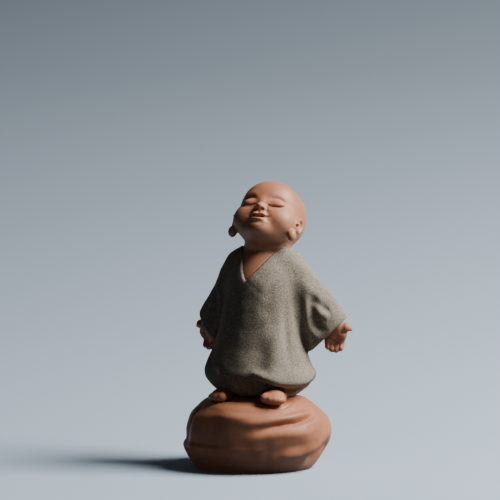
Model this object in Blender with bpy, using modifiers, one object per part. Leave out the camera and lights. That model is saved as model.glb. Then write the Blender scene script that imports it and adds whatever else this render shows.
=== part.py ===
"""Baby monk gazing at the sky from a boulder: a small ornament of red and grey fired clay.

Metres, +Z up. The monk faces -Y, and the origin is the middle of the boulder's flat underside.
Run it with blender --background --python part.py, or from Blender's text editor."""

import math

import bmesh
import bpy
import numpy as np
from mathutils import Euler, Matrix

# Driving sizes, in metres
ROCK_WIDTH = 0.075
ROCK_DEPTH = 0.064
ROCK_HEIGHT = 0.038
FIGURE_HEIGHT = 0.105
FIGURE_X = 0.0023
FIGURE_Y = 0.001
JOINT_GAP = 0.0003

# The figure is drawn in parts: one part is 1/105 of its height above the boulder's crown
FIGURE_PARTS = 105
PART = FIGURE_HEIGHT / FIGURE_PARTS

# The boulder is drawn in a box of its own, which the three rock sizes stretch
ROCK_DRAWN = np.array((75.0, 64.0, 38.0))
ROCK_TURN = 24.0

# Fineness of the clay skins, in parts, and how many triangles each piece keeps
FINE_SKIN = 0.5
PIECE_SKIN = 0.45
CLOTH_SKIN = 0.8
BROAD_SKIN = 1.0
HEAD_FACES = 2900
ROBE_FACES = 2700
ROCK_FACES = 1200
HAND_FACES = 600
FOOT_FACES = 340

# How a skin is made: fused this often, evened out this often each time, and by this share of the way
REMESH_ROUNDS = 3
EVEN_ROUNDS = 3
EVEN_SHARE = 0.5
LUMP_SEGMENTS = 20
LUMP_RINGS = 12
SLOPE_STEP = 0.01
LEAST_SLOPE = 0.05
LONGEST_MOVE = 1.5
TINY = 1e-9
# A stroke acts as far as this many widths, and presses in and lifts over this share of its length
STROKE_REACH = 3
STROKE_FADE = 0.28
# A stroke leaves the far side of a thin wall alone
SAME_SIDE = 2.0

# Fired clays: colour, roughness
RED_CLAY = ((0.42, 0.17, 0.10), 0.62)
GREY_CLAY = ((0.24, 0.215, 0.18), 0.85)


# Forms: each takes points and says how far each one lies outside the clay


def ellipsoid(points, centre, radii):
    offset = points - np.array(centre, float)
    near = np.linalg.norm(offset / np.array(radii, float), axis=1)
    slope = np.linalg.norm(offset / np.square(np.array(radii, float)), axis=1)
    return near * (near - 1) / np.maximum(slope, TINY)


def limb(points, start, end, start_radius, end_radius):
    start, end = np.array(start, float), np.array(end, float)
    along = np.clip((points - start) @ (end - start) / np.sum((end - start) ** 2), 0, 1)
    nearest = start + along[:, None] * (end - start)
    return np.linalg.norm(points - nearest, axis=1) - (start_radius + along * (end_radius - start_radius))


def smooth_rows(rows, per_span=8):
    """Rows of numbers on a smooth curve through the given rows."""
    rows = np.array(rows, float)
    padded = np.vstack([2 * rows[0] - rows[1], rows, 2 * rows[-1] - rows[-2]])
    found = []
    for k in range(1, len(padded) - 2):
        a, b, c, d = padded[k - 1 : k + 3]
        for step in range(per_span):
            t = step / per_span
            bend = (2 * a - 5 * b + 4 * c - d) * t**2 + (3 * b - a - 3 * c + d) * t**3
            found.append(0.5 * (2 * b + (c - a) * t + bend))
    return np.array([*found, rows[-1]])


def tapered_body(points, rows):
    """A body with an ellipse at each height. A row is a height, two half widths and two shifts."""
    wide, deep, shift_x, shift_y = (np.interp(points[:, 2], rows[:, 0], rows[:, k]) for k in range(1, 5))
    x, y = points[:, 0] - shift_x, points[:, 1] - shift_y
    near = np.hypot(x / wide, y / deep)
    slope = np.hypot(x / wide**2, y / deep**2)
    return near * (near - 1) / np.maximum(slope, TINY)


def blend(first, second, soft):
    """Two clays pressed together, with a fillet about soft wide."""
    share = np.clip(0.5 + 0.5 * (second - first) / soft, 0, 1)
    return second * (1 - share) + first * share - soft * share * (1 - share)


def keep_inside(first, second, soft):
    """What two forms share."""
    return -blend(-first, -second, soft)


def carve(body, cutter, soft):
    """The body without the cutter."""
    return keep_inside(body, -cutter, soft)


def pressed_together(points, masses):
    """Egg-shaped masses, each pressed onto the ones before: centre, radii and softness of the joint."""
    body = ellipsoid(points, *masses[0][:2])
    for centre, radii, soft in masses[1:]:
        body = blend(body, ellipsoid(points, centre, radii), soft)
    return body


def pair(centre, *rest):
    """A mass or a path's point on both sides of the middle."""
    return [((side * centre[0], *centre[1:]), *rest) for side in (1, -1)]


# Skins: rough lumps are fused, laid onto a form, pressed with modelling strokes and thinned


def slope_of(points, form, height):
    moved = [form(points + SLOPE_STEP * np.eye(3)[axis]) for axis in range(3)]
    return np.stack([(there - height) / SLOPE_STEP for there in moved], axis=1)


def outward_of(points, form):
    slope = slope_of(points, form, form(points))
    return slope / np.maximum(np.linalg.norm(slope, axis=1), TINY)[:, None]


def lay(points, form, steps=5):
    """The points moved onto the form's surface."""
    for _ in range(steps):
        height = form(points)
        slope = slope_of(points, form, height)
        move = -(height / np.maximum(np.sum(slope**2, axis=1), LEAST_SLOPE))[:, None] * slope
        length = np.linalg.norm(move, axis=1)
        points = points + move * np.minimum(1, LONGEST_MOVE / np.maximum(length, TINY))[:, None]
    return points


def pressed(points, form, strokes):
    """The points after a tool has followed each stroke: a path, its width and its depth.

    A stroke whose depth is below 0 raises the clay."""
    outward = outward_of(points, form)
    depth_here = np.zeros(len(points))
    for path, width, depth in strokes:
        line = lay(smooth_rows(path), form)
        line_out = outward_of(line, form)
        reach = STROKE_REACH * width
        close = np.all((points > line.min(0) - reach) & (points < line.max(0) + reach), axis=1)
        spot = points[close]
        best, where, facing = np.full(len(spot), np.inf), np.zeros(len(spot)), np.zeros(len(spot))
        for k, (a, b) in enumerate(zip(line[:-1], line[1:])):
            along = np.clip((spot - a) @ (b - a) / max(np.sum((b - a) ** 2), TINY), 0, 1)
            far = np.linalg.norm(spot - a - along[:, None] * (b - a), axis=1)
            nearer = far < best
            best[nearer], where[nearer] = far[nearer], (k + along[nearer]) / (len(line) - 1)
            facing[nearer] = outward[close][nearer] @ line_out[k]
        from_end = np.clip(np.minimum(where, 1 - where) / STROKE_FADE, 0, 1)
        fade = from_end**2 * (3 - 2 * from_end)
        same_side = np.clip(SAME_SIDE * facing, 0, 1)
        depth_here[close] += depth * fade * same_side * np.exp(-((best / width) ** 2))
    return points - depth_here[:, None] * outward


def relaxed(points, edges, form):
    """The points evened out along the form's surface."""
    a, b = edges[:, 0], edges[:, 1]
    count = np.bincount(edges.ravel(), minlength=len(points))
    total = np.empty_like(points)
    for axis in range(3):
        values = points[:, axis]
        total[:, axis] = np.bincount(a, values[b], len(points)) + np.bincount(b, values[a], len(points))
    return lay(points + EVEN_SHARE * (total / count[:, None] - points), form, 2)


def vertices_of(mesh):
    points = np.empty(len(mesh.vertices) * 3)
    mesh.vertices.foreach_get("co", points)
    return points.reshape(-1, 3)


def edges_of(mesh):
    edges = np.empty(len(mesh.edges) * 2, int)
    mesh.edges.foreach_get("vertices", edges)
    return edges.reshape(-1, 2)


def new_object(name, mesh, collection):
    obj = bpy.data.objects.new(name, mesh)
    collection.objects.link(obj)
    return obj


def make_real(obj):
    """The object's modifiers become its mesh."""
    shaped = obj.evaluated_get(bpy.context.evaluated_depsgraph_get())
    mesh = bpy.data.meshes.new_from_object(shaped)
    obj.modifiers.clear()
    obj.data = mesh


def skin(name, lumps, form, voxel, faces, strokes=()):
    """One closed piece of clay over rough lumps, each a centre and three radii."""
    bm = bmesh.new()
    for centre, radii in lumps:
        place = Matrix.Translation(centre) @ Matrix.Diagonal((*radii, 1))
        bmesh.ops.create_uvsphere(
            bm, u_segments=LUMP_SEGMENTS, v_segments=LUMP_RINGS, radius=1, matrix=place
        )
    mesh = bpy.data.meshes.new(name)
    bm.to_mesh(mesh)
    bm.free()
    obj = new_object(name, mesh, ornament)
    for _ in range(REMESH_ROUNDS):
        remesh = obj.modifiers.new("fuse", "REMESH")
        remesh.mode = "VOXEL"
        remesh.voxel_size = voxel
        make_real(obj)
        points = lay(vertices_of(obj.data), form)
        for _ in range(EVEN_ROUNDS):
            points = relaxed(points, edges_of(obj.data), form)
        obj.data.vertices.foreach_set("co", points.ravel())
        obj.data.update()
    if strokes:
        obj.data.vertices.foreach_set("co", pressed(points, form, strokes).ravel())
        obj.data.update()
    thin = obj.modifiers.new("thin", "DECIMATE")
    thin.ratio = min(1.0, faces / (2 * len(obj.data.polygons)))
    thin.use_collapse_triangulate = True
    make_real(obj)
    return obj


def turned(x=0.0, y=0.0, z=0.0):
    """A rotation by degrees, as an array whose columns are the turned axes."""
    return np.array(Euler((math.radians(x), math.radians(y), math.radians(z))).to_matrix())


# Boulder, drawn on its own axes: across, away from the front, up

# Height, half width, half depth, sideways and backward shift
ROCK_ROWS = smooth_rows(
    (
        (-4, 27.0, 21.5, -1.3, 0.5),
        (0, 28.7, 23.0, -1.3, 0.5),
        (3, 31.4, 26.0, -1.4, 0.3),
        (11, 36.0, 31.0, -0.9, 0.0),
        (15, 36.0, 32.0, 0.6, 0.0),
        (20, 36.2, 32.0, 0.9, 0.0),
        (25, 34.8, 31.4, 0.7, -0.2),
        (28, 32.6, 30.4, 0.0, -0.4),
        (31, 29.6, 29.0, -0.2, -0.6),
        (34, 27.2, 27.6, -0.6, -0.8),
        (40, 23.0, 23.0, -0.6, 0.0),
    )
)
ROCK_CROWN = ((0, 0, -20), (75, 70, 58))
CROWN_SOFT = 3.5
ROCK_LUMPS = (((-2, 0, 15), (33, 29, 18)), ((6, -1, 22), (26, 26, 14)))
ROCK_CREASES = (
    # The edge between the top and the front
    (((-27, -17, 28.5), (-18, -25, 28.8), (-6, -31, 28.2), (6, -31, 28.6), (14, -28, 29.5)), 2.6, -0.5),
    # The deep crease below the front foot, and the tongue of clay above it
    (
        (
            (29, -13, 28), (25.7, -20, 26.4), (20, -26, 24.8),
            (15, -29, 24.5), (8, -31, 23.4), (-3, -32, 21),
        ),
        1.5,
        2.2,
    ),
    (
        ((29, -14, 31), (23, -21, 28.4), (15, -28, 27.2), (6, -31, 26), (-3, -31, 24.6), (-10, -30, 24)),
        2.2,
        -1.3,
    ),
    (((31, -12, 33), (24, -19, 31), (16, -26, 30.4), (8, -30, 30)), 2.0, 0.35),
    # The swelling below the crease, the hollow below that, and the low swellings at its left and right
    (((29, -17, 20), (21, -26, 19.5), (10, -31, 19.4), (0, -32, 18), (-9, -31, 16)), 2.6, -1.0),
    (((27, -20, 14.6), (21, -26, 13.6), (14, -30, 12.6), (6, -31.5, 12), (-2, -31, 12.6)), 3.4, 1.1),
    (((-14, -28, 11), (-6, -30, 10.8), (3, -30, 10), (10, -29, 9)), 3.8, -0.5),
    (((31, -12, 13), (25, -20, 11), (17, -26, 9.5), (9, -28, 9)), 3.2, -0.8),
    # The left side: a long edge down the front, worn hollows beside it and a groove at the far left
    (((-19, -24, 34), (-21.5, -25, 24), (-21.5, -25, 12), (-19, -23, -3)), 6.6, 0.9),
    (((-29, -12, 31), (-31.5, -13, 20), (-30, -13, 6)), 2.6, -0.6),
    (((-24, -8, 34), (-30.0, -9, 29), (-33.0, -8.5, 22), (-34, -6, 11)), 1.5, 1.3),
    (((-8, -30, 8), (-2, -31, 6), (6, -30, 4)), 3.5, 0.8),
    # The flat worn on the lower right, and its edge
    (((37, -4, 15), (32, -12, 9.5), (24, -20, 4)), 4.6, 1.6),
    (((38, -6, 20), (31, -15, 15), (22, -23, 9)), 2.6, -0.5),
    # Round the back
    (((32, 10, 28), (24, 22, 23), (10, 30, 19), (-9, 32, 14)), 2.2, 1.9),
    (((33, 8, 22), (24, 22, 17), (8, 31, 12)), 3.0, -1.1),
    (((-35, 5, 20), (-27, 20, 17), (-14, 29, 12), (3, 31, 8)), 3.2, 1.6),
    (((-32, 8, 28), (-22, 22, 25), (-7, 29, 21)), 3.2, -1.1),
    (((34, 0, 11), (30, 14, 9), (18, 26, 6)), 3.5, 1.1),
    # Small dents of the maker's thumb on the shoulders
    (((17, 4, 37), (22, 12, 34), (19, 21, 31)), 3.0, 0.8),
    (((-21, 6, 35), (-18, 15, 34), (-10, 22, 33)), 3.2, 0.8),
)


def rock_form(points):
    body = tapered_body(points, ROCK_ROWS)
    return keep_inside(body, ellipsoid(points, *ROCK_CROWN), CROWN_SOFT)


# The figure's own places, in parts, from the middle of its foot of cloth on the boulder's crown

# Torso rows: height, half width, half depth, sideways and backward shift
TORSO_ROWS = smooth_rows(
    (
        (-4.5, 15.5, 12.2, -1.0, 0),
        (-1.5, 18.0, 14.8, -1.0, 0),
        (0.5, 21.4, 18.0, -1.2, 0),
        (4, 25.5, 21.4, -1.3, 0),
        (9.5, 28.3, 24.0, -1.3, 0),
        (15, 26.5, 22.8, -1.6, -0.3),
        (24, 23.1, 20.0, -1.0, -1.0),
        (35, 20.2, 17.6, -0.4, -1.6),
        (47, 18.6, 16.2, 0.3, -1.8),
        (57, 17.4, 15.8, 0.8, -0.8),
        (65, 15.2, 14.6, 1.2, 1.9),
        (72, 12.2, 12.4, 1.4, 4.6),
        (78, 8.0, 8.0, 1.2, 6.0),
    )
)
TORSO_TOP = 72.4
TOP_SOFT = 4.0
HEM_LOW = -3.5
HEM_SOFT = 1.5

# Sleeve rows run down the arm from the shoulder: place, half drape, half thickness, two shifts
SLEEVE_START = np.array((10.5, 2.0, 63.0))
CUFF_CENTRE = np.array((32.2, 9.5, 32.0))
SLEEVE_LENGTH = float(np.linalg.norm(CUFF_CENTRE - SLEEVE_START))
SLEEVE_ROWS = smooth_rows(
    (
        (-8, 6.0, 6.0, 0, 0),
        (0, 9.2, 8.6, 0.1, 0),
        (10, 11.0, 8.8, 1.3, 0),
        (20, 12.7, 8.4, 2.6, 0),
        (30, 13.8, 8.0, 3.3, 0),
        (40, 13.0, 7.2, 2.7, 0),
        (48, 12.4, 6.4, 2.3, 0),
    )
)
# How much wider the right sleeve is than the left one at the same places
RIGHT_SLEEVE_WIDER = ((-8, 0.3), (0, 0.9), (10, 1.2), (20, 0.5), (30, 0.5), (48, 0.4))
SIDES_MEET = 8.0
# Both sleeves lean a little to the left
SLEEVES_ASIDE = 1.2
# The cuff is cut on a slant, longer at the drape
CUFF_SLANT = 0.2
CUFF_SHORT_SIDE = -11.0
CUFF_WALL = 2.2
CUFF_HOLLOW = 2.2
CUFF_ROUND = 1.4
HOLLOW_SOFT = 2.0
HOLLOW_EDGE = 1.0
ARM_SOFT = 3.0

# Collar: what lies above two slopes that meet along a line from the point of the V to the nape
COLLAR_TIP = np.array((-2.0, -15.6, 56.4))
COLLAR_NAPE = np.array((1.0, 15.5, 71.0))
COLLAR_SIDES = (np.array((9.5, -6.6, 69.9)), np.array((-9.2, -6.8, 70.2)))
COLLAR_CREASE = 1.2
COLLAR_EDGE = 1.0
SKIN_INSET = 1.1
NECK_SEAT = 0.45
NECK_ROOM = 1.2
NECK_SOFT = 2.5
JAW_SOFT = 3.0
WEDGE_SOFT = 0.6
BUST_EDGE = 0.8

HEAD_CENTRE = np.array((1.6, 7.1, 85.3))
HEAD_TURN = turned(z=6) @ turned(x=-42) @ turned(y=3)
NECK_FOOT = (0.6, 4.0, 70.5)
NECK_TOP = (1.0, 6.5, 77.0)
NECK_RADIUS = 10.5

HAND_PLACES = {"left_hand": (35.4, 11.0, 32.3), "right_hand": (-34.3, 11.0, 30.7)}
FOOT_PLACES = {"left_foot": (14.0, -16.4, -3.5), "right_foot": (-13.6, -16.8, -3.5)}
FOOT_SCALES = {"left_foot": 0.95, "right_foot": 0.89}
FOOT_TOE_OUT = 8.0


def sleeve_axes():
    """Columns: towards the drape below the arm, through the cloth, and down the arm."""
    down = (CUFF_CENTRE - SLEEVE_START) / SLEEVE_LENGTH
    through = np.cross(down, (0, 0, 1.0))
    through /= np.linalg.norm(through)
    return np.stack([np.cross(down, through), through, down], axis=1)


SLEEVE_AXES = sleeve_axes()


def sleeve_form(points):
    """Both sleeves, by folding the points across the middle, and the hollow in their cuffs."""
    folded = np.column_stack([np.abs(points[:, 0] - SLEEVES_ASIDE), points[:, 1], points[:, 2]])
    local = (folded - SLEEVE_START) @ SLEEVE_AXES
    past_cuff = local[:, 2] - SLEEVE_LENGTH - CUFF_SLANT * (local[:, 0] - CUFF_SHORT_SIDE)
    places, wider = np.array(RIGHT_SLEEVE_WIDER).T
    share = np.clip(0.5 - (points[:, 0] - SLEEVES_ASIDE) / SIDES_MEET, 0, 1)
    body = tapered_body(local, SLEEVE_ROWS) - share * np.interp(local[:, 2], places, wider)
    hollow = keep_inside(body + CUFF_WALL, -past_cuff - CUFF_HOLLOW, HOLLOW_SOFT)
    return keep_inside(body, past_cuff, CUFF_ROUND), hollow


def cloth_form(points):
    """The robe's cloth before its collar is opened."""
    torso = tapered_body(points, TORSO_ROWS)
    torso = keep_inside(torso, points[:, 2] - TORSO_TOP, TOP_SOFT)
    torso = keep_inside(torso, HEM_LOW - points[:, 2], HEM_SOFT)
    sleeves, hollow = sleeve_form(points)
    return carve(blend(torso, sleeves, ARM_SOFT), hollow, HOLLOW_EDGE)


def slope_above(points, a, b, c):
    """Everything above the slope through three places."""
    normal = np.cross(b - a, c - a)
    normal /= np.linalg.norm(normal) * np.sign(normal[2])
    return (a - points) @ normal


def collar_form(points):
    """The opening of the collar, with a seat for the neck."""
    sides = (slope_above(points, COLLAR_TIP, COLLAR_NAPE, side) for side in COLLAR_SIDES)
    neck = limb(points, NECK_FOOT, NECK_TOP, NECK_RADIUS, NECK_RADIUS) - NECK_ROOM
    return blend(keep_inside(*sides, COLLAR_CREASE), neck, NECK_SOFT)


def robe_form(points):
    return carve(cloth_form(points), collar_form(points), COLLAR_EDGE)


ROBE_FOLDS = (
    # The valley down the front, which opens out above the hem, and its right bank
    (
        ((1.4, -20.4, 30), (2, -21.6, 21), (1.2, -23.2, 13), (-1.4, -22.6, 6), (-4, -19, -2)),
        5.2,
        1.5,
    ),
    (((13, -15, 38), (12.5, -18, 26), (11, -20.5, 16), (9, -22, 8)), 4.2, -1.0),
    # The roll of cloth above the near foot, and the tuck below it
    (
        (
            (2, -24, 14), (7, -23.5, 11.0), (12, -22, 9.0), (17, -18.5, 7.4),
            (22, -11.5, 7), (26, -2, 8.5), (27, 7, 11),
        ),
        2.4,
        -2.2,
    ),
    (
        (
            (3, -23.4, 10), (8, -22.4, 7), (12, -20, 4.6), (16, -15.5, 2.6),
            (20, -8.5, 1.2), (23.5, -2, 1.8), (25, 5, 4),
        ),
        1.5,
        2.1,
    ),
    # The crease at the far foot, and the bulge beside it
    (((-13.5, -21.5, 16), (-12, -22.3, 11), (-10, -21.9, 7), (-8, -20.5, 3.6), (-6, -18, -1)), 1.5, 1.3),
    (((-26, -9, 9), (-21, -17, 9), (-16, -21, 9.4), (-12, -22, 6)), 3.2, -0.9),
    (((-22, -12, 30), (-21.5, -15, 18), (-19, -17, 9)), 3.5, 0.7),
    # The lapel's edge, which runs on from the point of the V
    (((-3, -15.6, 58), (0.5, -16.5, 55), (5, -16.8, 51.4), (9, -16, 48)), 0.8, 0.14),
    (((-1.5, -16, 59.5), (2.5, -16.8, 55.8), (7, -16.6, 52.2), (11, -15.4, 49)), 1.4, -0.2),
    # Drag of the cloth from the shoulders and under the arms
    (((13, -11, 64), (10.5, -15, 51), (10, -17, 38)), 3.2, 0.4),
    (((-12, -11, 64), (-11, -15, 51), (-11.5, -17, 36)), 3.4, 0.25),
    (((17, -8, 50), (18.5, -11, 38), (19.5, -12, 26), (20, -13, 14)), 2.4, 0.9),
    # Round the back: two valleys from the shoulder blades, and rolls above the hem
    (((-6, 15, 60), (-9, 18, 32), (-8, 24, 2)), 4.2, 1.7),
    (((8, 15, 56), (10, 19, 28), (9, 24, 2)), 4.2, 1.7),
    (((0, 16, 50), (1, 21, 24), (0, 24, 3)), 3.8, -1.2),
    (((-26, 6, 10), (-17, 18, 5.5), (-8, 22, 5), (0, 23.5, 7)), 2.8, -1.6),
    (((0, 23.5, 5.5), (10, 21.5, 5), (18, 16, 6), (27, 4, 10)), 2.8, -1.6),
    (((-24, 8, 3), (-10, 19, 0.5), (0, 20, 1), (10, 18.5, 0.5), (24, 8, 3)), 1.6, 1.2),
    (((-16, 10, 68), (-4, 16.5, 62), (7, 16.5, 61), (17, 9, 67)), 2.6, 0.8),
)
# Folds of the left sleeve, which the right one mirrors
SLEEVE_FOLDS = (
    # Front: the long drape fold that turns up towards the cuff, and its inner bank
    (
        (
            (27, 0, 55), (27.4, -1.5, 47), (27.2, -1.5, 40), (27.6, -0.7, 36),
            (29.4, 0.3, 33), (32, 1.2, 32.6), (34.5, 2, 34),
        ),
        2.3,
        1.8,
    ),
    (
        (
            (24.6, -2, 56), (24.6, -2.6, 47), (24.8, -1.8, 39),
            (25.6, -0.5, 33.5), (28, 1, 30), (31, 1.6, 29),
        ),
        2.2,
        -0.7,
    ),
    (((21.5, -3, 52), (22.6, -2.4, 42), (23.0, -1, 34), (24.2, 1, 27), (26, 3, 22)), 1.9, 0.9),
    # The pouch between the folds, and the crease above it
    (((28, -0.9, 47), (30.6, 0.2, 42), (33, 1.3, 39.2), (36, 2.6, 38.4)), 2.1, -1.1),
    (((27.4, -1.4, 53), (29.4, -0.5, 46.5), (32, 0.8, 43), (34.4, 2, 41.8), (36.4, 3.2, 42.2)), 2.0, 0.9),
    (((23, -4, 59), (29, -2, 50), (34, 1, 45)), 2.4, -0.7),
    # Back
    (((14, 8, 58), (20, 13.5, 46), (26, 16, 37), (34, 17.5, 33)), 2.0, 1.8),
    (((17, 9, 60), (24, 13.5, 50), (30, 16, 43), (37, 16.5, 39)), 2.2, 1.4),
    (((16, 10, 55), (23, 14.5, 44), (30, 17, 36)), 2.0, -1.0),
    # Where the drape leaves the body
    (((13, 10, 56), (18, 13, 41), (22, 13, 24)), 2.2, 1.0),
)
ROBE_LUMPS = [((0, 0, 12), (27, 23, 14)), ((0, -1, 38), (19, 17, 34))]
for step in (0.1, 0.4, 0.7, 0.9):
    x, y, z = SLEEVE_START + step * (CUFF_CENTRE - SLEEVE_START)
    ROBE_LUMPS += [((x, y, z), (9, 8, 10)), ((-x, y, z), (9, 8, 10))]


def robe_strokes():
    yield from ROBE_FOLDS
    for path, width, depth in SLEEVE_FOLDS:
        for side in (1, -1):
            beside = np.array(path) * (side, 1, 1)
            yield beside + ((1 - side) * SLEEVES_ASIDE, 0, 0), width, depth


# Head: masses on axes of its own, with the face towards -Y


HEAD_MASSES = [
    ((0, 1.5, 2.5), (16.8, 17.4, 16.4), 0),
    ((0, -4, -5), (13.9, 12.6, 12.0), 5),
    # Cheeks, forehead and chin
    *pair((8.0, -7.6, -7.4), (7.6, 7.6, 7.6), 3),
    ((0, -7.0, 6), (11.8, 9.6, 9.2), 5),
    ((0, -11.6, -14.6), (4.6, 4.0, 3.4), 3),
    ((0, -6, -14.2), (9, 8, 5), 4),
    ((0, -13.6, -10.4), (5.0, 3.6, 4.0), 2.5),
    # Closed lids, nose and its wings
    *pair((6.7, -13.3, -1.7), (4.1, 3.1, 2.6), 1.2),
    ((0, -15.2, -2.4), (1.6, 2.2, 3.6), 2.0),
    ((0, -17.2, -5.5), (2.0, 2.2, 1.8), 1.2),
    *pair((1.9, -16.6, -6.1), (1.3, 1.5, 1.2), 0.8),
    # Lips
    *pair((1.5, -16.7, -9.9), (2.1, 1.2, 0.85), 0.6),
    ((0, -16.1, -12.6), (2.7, 1.35, 1.0), 0.7),
    # Ears and their long lobes
    *pair((16.0, -2.8, -6.0), (1.9, 3.2, 4.6), 1.0),
    *pair((15.5, -5.0, -12.6), (2.2, 2.6, 3.1), 1.0),
]
BOTH_SIDES = (
    # Line of the closed lids, the fold above them and the fold of the cheek below
    (
        (
            (2.3, -16.2, -3.2), (4.4, -16.4, -3.8), (6.9, -15.9, -3.8),
            (9.4, -14.6, -3.0), (12.2, -12.4, -1.0),
        ),
        0.42,
        1.2,
    ),
    (
        (
            (2.4, -16.2, -1.6), (4.4, -16.0, 0.4), (7.0, -15.5, 1.1),
            (9.4, -14.2, 0.6), (11.8, -12.4, -0.8),
        ),
        1.0,
        0.42,
    ),
    (((3.4, -16.2, -5.0), (6.4, -15.6, -5.3), (9.4, -14.6, -4.6), (12.4, -12.3, -2.6)), 0.7, 0.22),
    # Brow
    (((2.0, -16.5, 1.8), (5.4, -16.2, 3.4), (9.0, -14.8, 3.2), (12.6, -12.0, 1.2)), 1.6, -0.25),
    # Nostrils, folds from the nose round the cheeks, and the dimples of the smile
    (((0.6, -17.8, -7.2), (1.5, -17.7, -7.4), (2.4, -17.2, -7.1)), 0.5, 0.85),
    (((2.8, -16.6, -4.6), (3.5, -16.0, -6.5), (3.3, -15.9, -8.4)), 0.6, 0.35),
    (((2.8, -16.0, -6.6), (4.5, -15.9, -8.9), (5.4, -15.2, -11.8)), 1.2, 0.5),
    (((3.2, -15.8, -10.2), (4.3, -15.3, -11.2), (4.9, -14.6, -13.0)), 1.0, 0.55),
    # The ear's rim, its hollow, the hole of the ear and the notch above the lobe
    (
        (
            (16.2, -6.4, -5.6), (17, -5.2, -3.2), (18, -3.4, -2.4),
            (18.6, -1.4, -4), (18.4, -0.8, -7), (17.6, -2, -10.4),
        ),
        0.75,
        -0.9,
    ),
    (((17.2, -4.6, -3.8), (17.8, -3.0, -4.2), (17.9, -2.4, -6.4), (17.4, -3.2, -9.4)), 0.8, 1.2),
    (((17.0, -4.8, -5.8), (17.2, -4.6, -6.8), (17.0, -4.8, -7.8)), 0.7, 2.2),
    (((17.8, -1.4, -9.6), (18.0, -4.6, -9.8), (16.2, -7.6, -10.0)), 0.8, 0.8),
)
MIDDLE = (
    # The open smile, the groove above it and the hollow below the lip
    (
        (
            (-4.6, -15.2, -10.0), (-2.2, -17, -11.1), (0, -17.4, -11.2),
            (2.2, -17, -11.1), (4.4, -15.2, -10.2),
        ),
        0.55,
        1.6,
    ),
    (((0, -17.2, -7.4), (0, -17.4, -8.7), (0, -17.6, -10.2)), 0.5, 0.5),
    (((-3.6, -15.0, -13.4), (0, -16, -14.2), (3.6, -15.0, -13.4)), 0.9, 0.6),
)


def head_local(points):
    return (points - HEAD_CENTRE) @ HEAD_TURN


def head_placed(points):
    return np.array(points, float) @ HEAD_TURN.T + HEAD_CENTRE


def head_strokes():
    for path, width, depth in BOTH_SIDES:
        for side in (1, -1):
            yield head_placed([(side * x, y, z) for x, y, z in path]), width, depth
    for path, width, depth in MIDDLE:
        yield head_placed(path), width, depth


def bust_form(points):
    """Head, neck and the wedge of chest that shows in the collar, clear of the cloth."""
    head = pressed_together(head_local(points), HEAD_MASSES)
    cloth = cloth_form(points)
    neck = limb(points, NECK_FOOT, NECK_TOP, NECK_RADIUS, NECK_RADIUS)
    bust = blend(head, blend(cloth + SKIN_INSET, neck, NECK_SOFT), JAW_SOFT)
    room = blend(collar_form(points), -cloth, WEDGE_SOFT) + NECK_SEAT
    return keep_inside(bust, room, BUST_EDGE)


CHEST_LUMPS = (
    ((1, 6, 72), 9),
    ((0.6, 1, 67), 8.5),
    ((0, -6, 64), 6.5),
    ((-0.4, -10.5, 61.8), 4),
    ((-1.2, -13.2, 59), 2.4),
)


def bust_lumps():
    for centre, radii, _ in HEAD_MASSES:
        yield head_placed(centre), radii
    for centre, radius in CHEST_LUMPS:
        yield centre, (radius, radius, radius)


# Hand: palm forward, fingers down, thumb out. Local axes: out to the side, back, up


PALM = (
    ((0, 0, -4.6), (4.9, 2.8, 5.6), 0),
    ((3.0, -1.2, -3.0), (2.6, 2.2, 3.6), 1.2),
    ((-3.0, -0.8, -5.2), (2.3, 2.2, 4.2), 1.2),
)
# Each finger: place across the palm, height of its knuckle, height of its tip, radius
FINGERS = (
    (-3.5, -7.4, -9.7, 1.5),
    (-1.25, -8.0, -10.7, 1.65),
    (1.15, -8.0, -10.8, 1.65),
    (3.4, -7.4, -9.8, 1.55),
)
FINGER_SOFT = 1.0
FINGER_CURL = -1.7
THUMB = ((1.8, -0.8, -0.2), (4.4, -1.3, 0.9), (7.2, -1.2, 0.1))
THUMB_RADII = (3.0, 2.3, 0.8)
WRIST = ((-1.5, -0.4, 6.0), (0, 0, -3.0), 3.9, 3.6)
HAND_LUMPS = (
    ((0, 0, -5.5), (5.0, 3.0, 5.6)),
    ((0, -0.8, -9), (5.0, 2.6, 2.4)),
    ((4.4, -1.2, 0.9), (3.6, 2.0, 2.0)),
    ((-0.8, -0.5, 2.6), (3.8, 3.8, 6.5)),
)
HAND_STROKES = (
    # The hollow of the palm and its lines
    (((0.4, -3, -2), (0.4, -3, -4.6), (0.2, -3, -8.4)), 1.7, 0.7),
    (((4.0, -3.4, -4.6), (2.0, -3.4, -6.0), (0.4, -3.0, -8.6)), 0.5, 0.4),
    (((-4.4, -3.0, -4.0), (-1.8, -3.2, -5.6), (1.0, -3.0, -7.4)), 0.45, 0.35),
    # The shallow gaps between the fingers
    (((-2.4, -3.2, -6.2), (-2.4, -3.6, -9.4), (-2.4, -1.0, -12.4)), 0.4, 0.28),
    (((0.0, -3.4, -6.6), (0.0, -3.8, -9.8), (0.0, -1.0, -13.0)), 0.4, 0.28),
    (((2.3, -3.2, -6.2), (2.3, -3.6, -9.4), (2.3, -1.0, -12.4)), 0.4, 0.28),
    # The web of the thumb
    (((1.6, -3.2, -1.8), (3.8, -3.0, -1.4), (6.4, -2.2, -0.8)), 0.7, 0.5),
)


def hand_form(points):
    palm = pressed_together(points, PALM)
    for x, knuckle, drop, radius in FINGERS:
        finger = limb(points, (x, 0, knuckle), (0.9 * x, FINGER_CURL, drop), radius, radius)
        palm = blend(palm, finger, FINGER_SOFT)
    root, joint, tip = THUMB
    near_thumb = limb(points, root, joint, *THUMB_RADII[:2])
    thumb = blend(near_thumb, limb(points, joint, tip, *THUMB_RADII[1:]), 0.5)
    return blend(blend(palm, thumb, 1.0), limb(points, *WRIST), 1.5)


HAND_TURNS = {"left_hand": turned(x=8, y=6, z=22), "right_hand": turned(x=8, y=-6, z=-22)}

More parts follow.
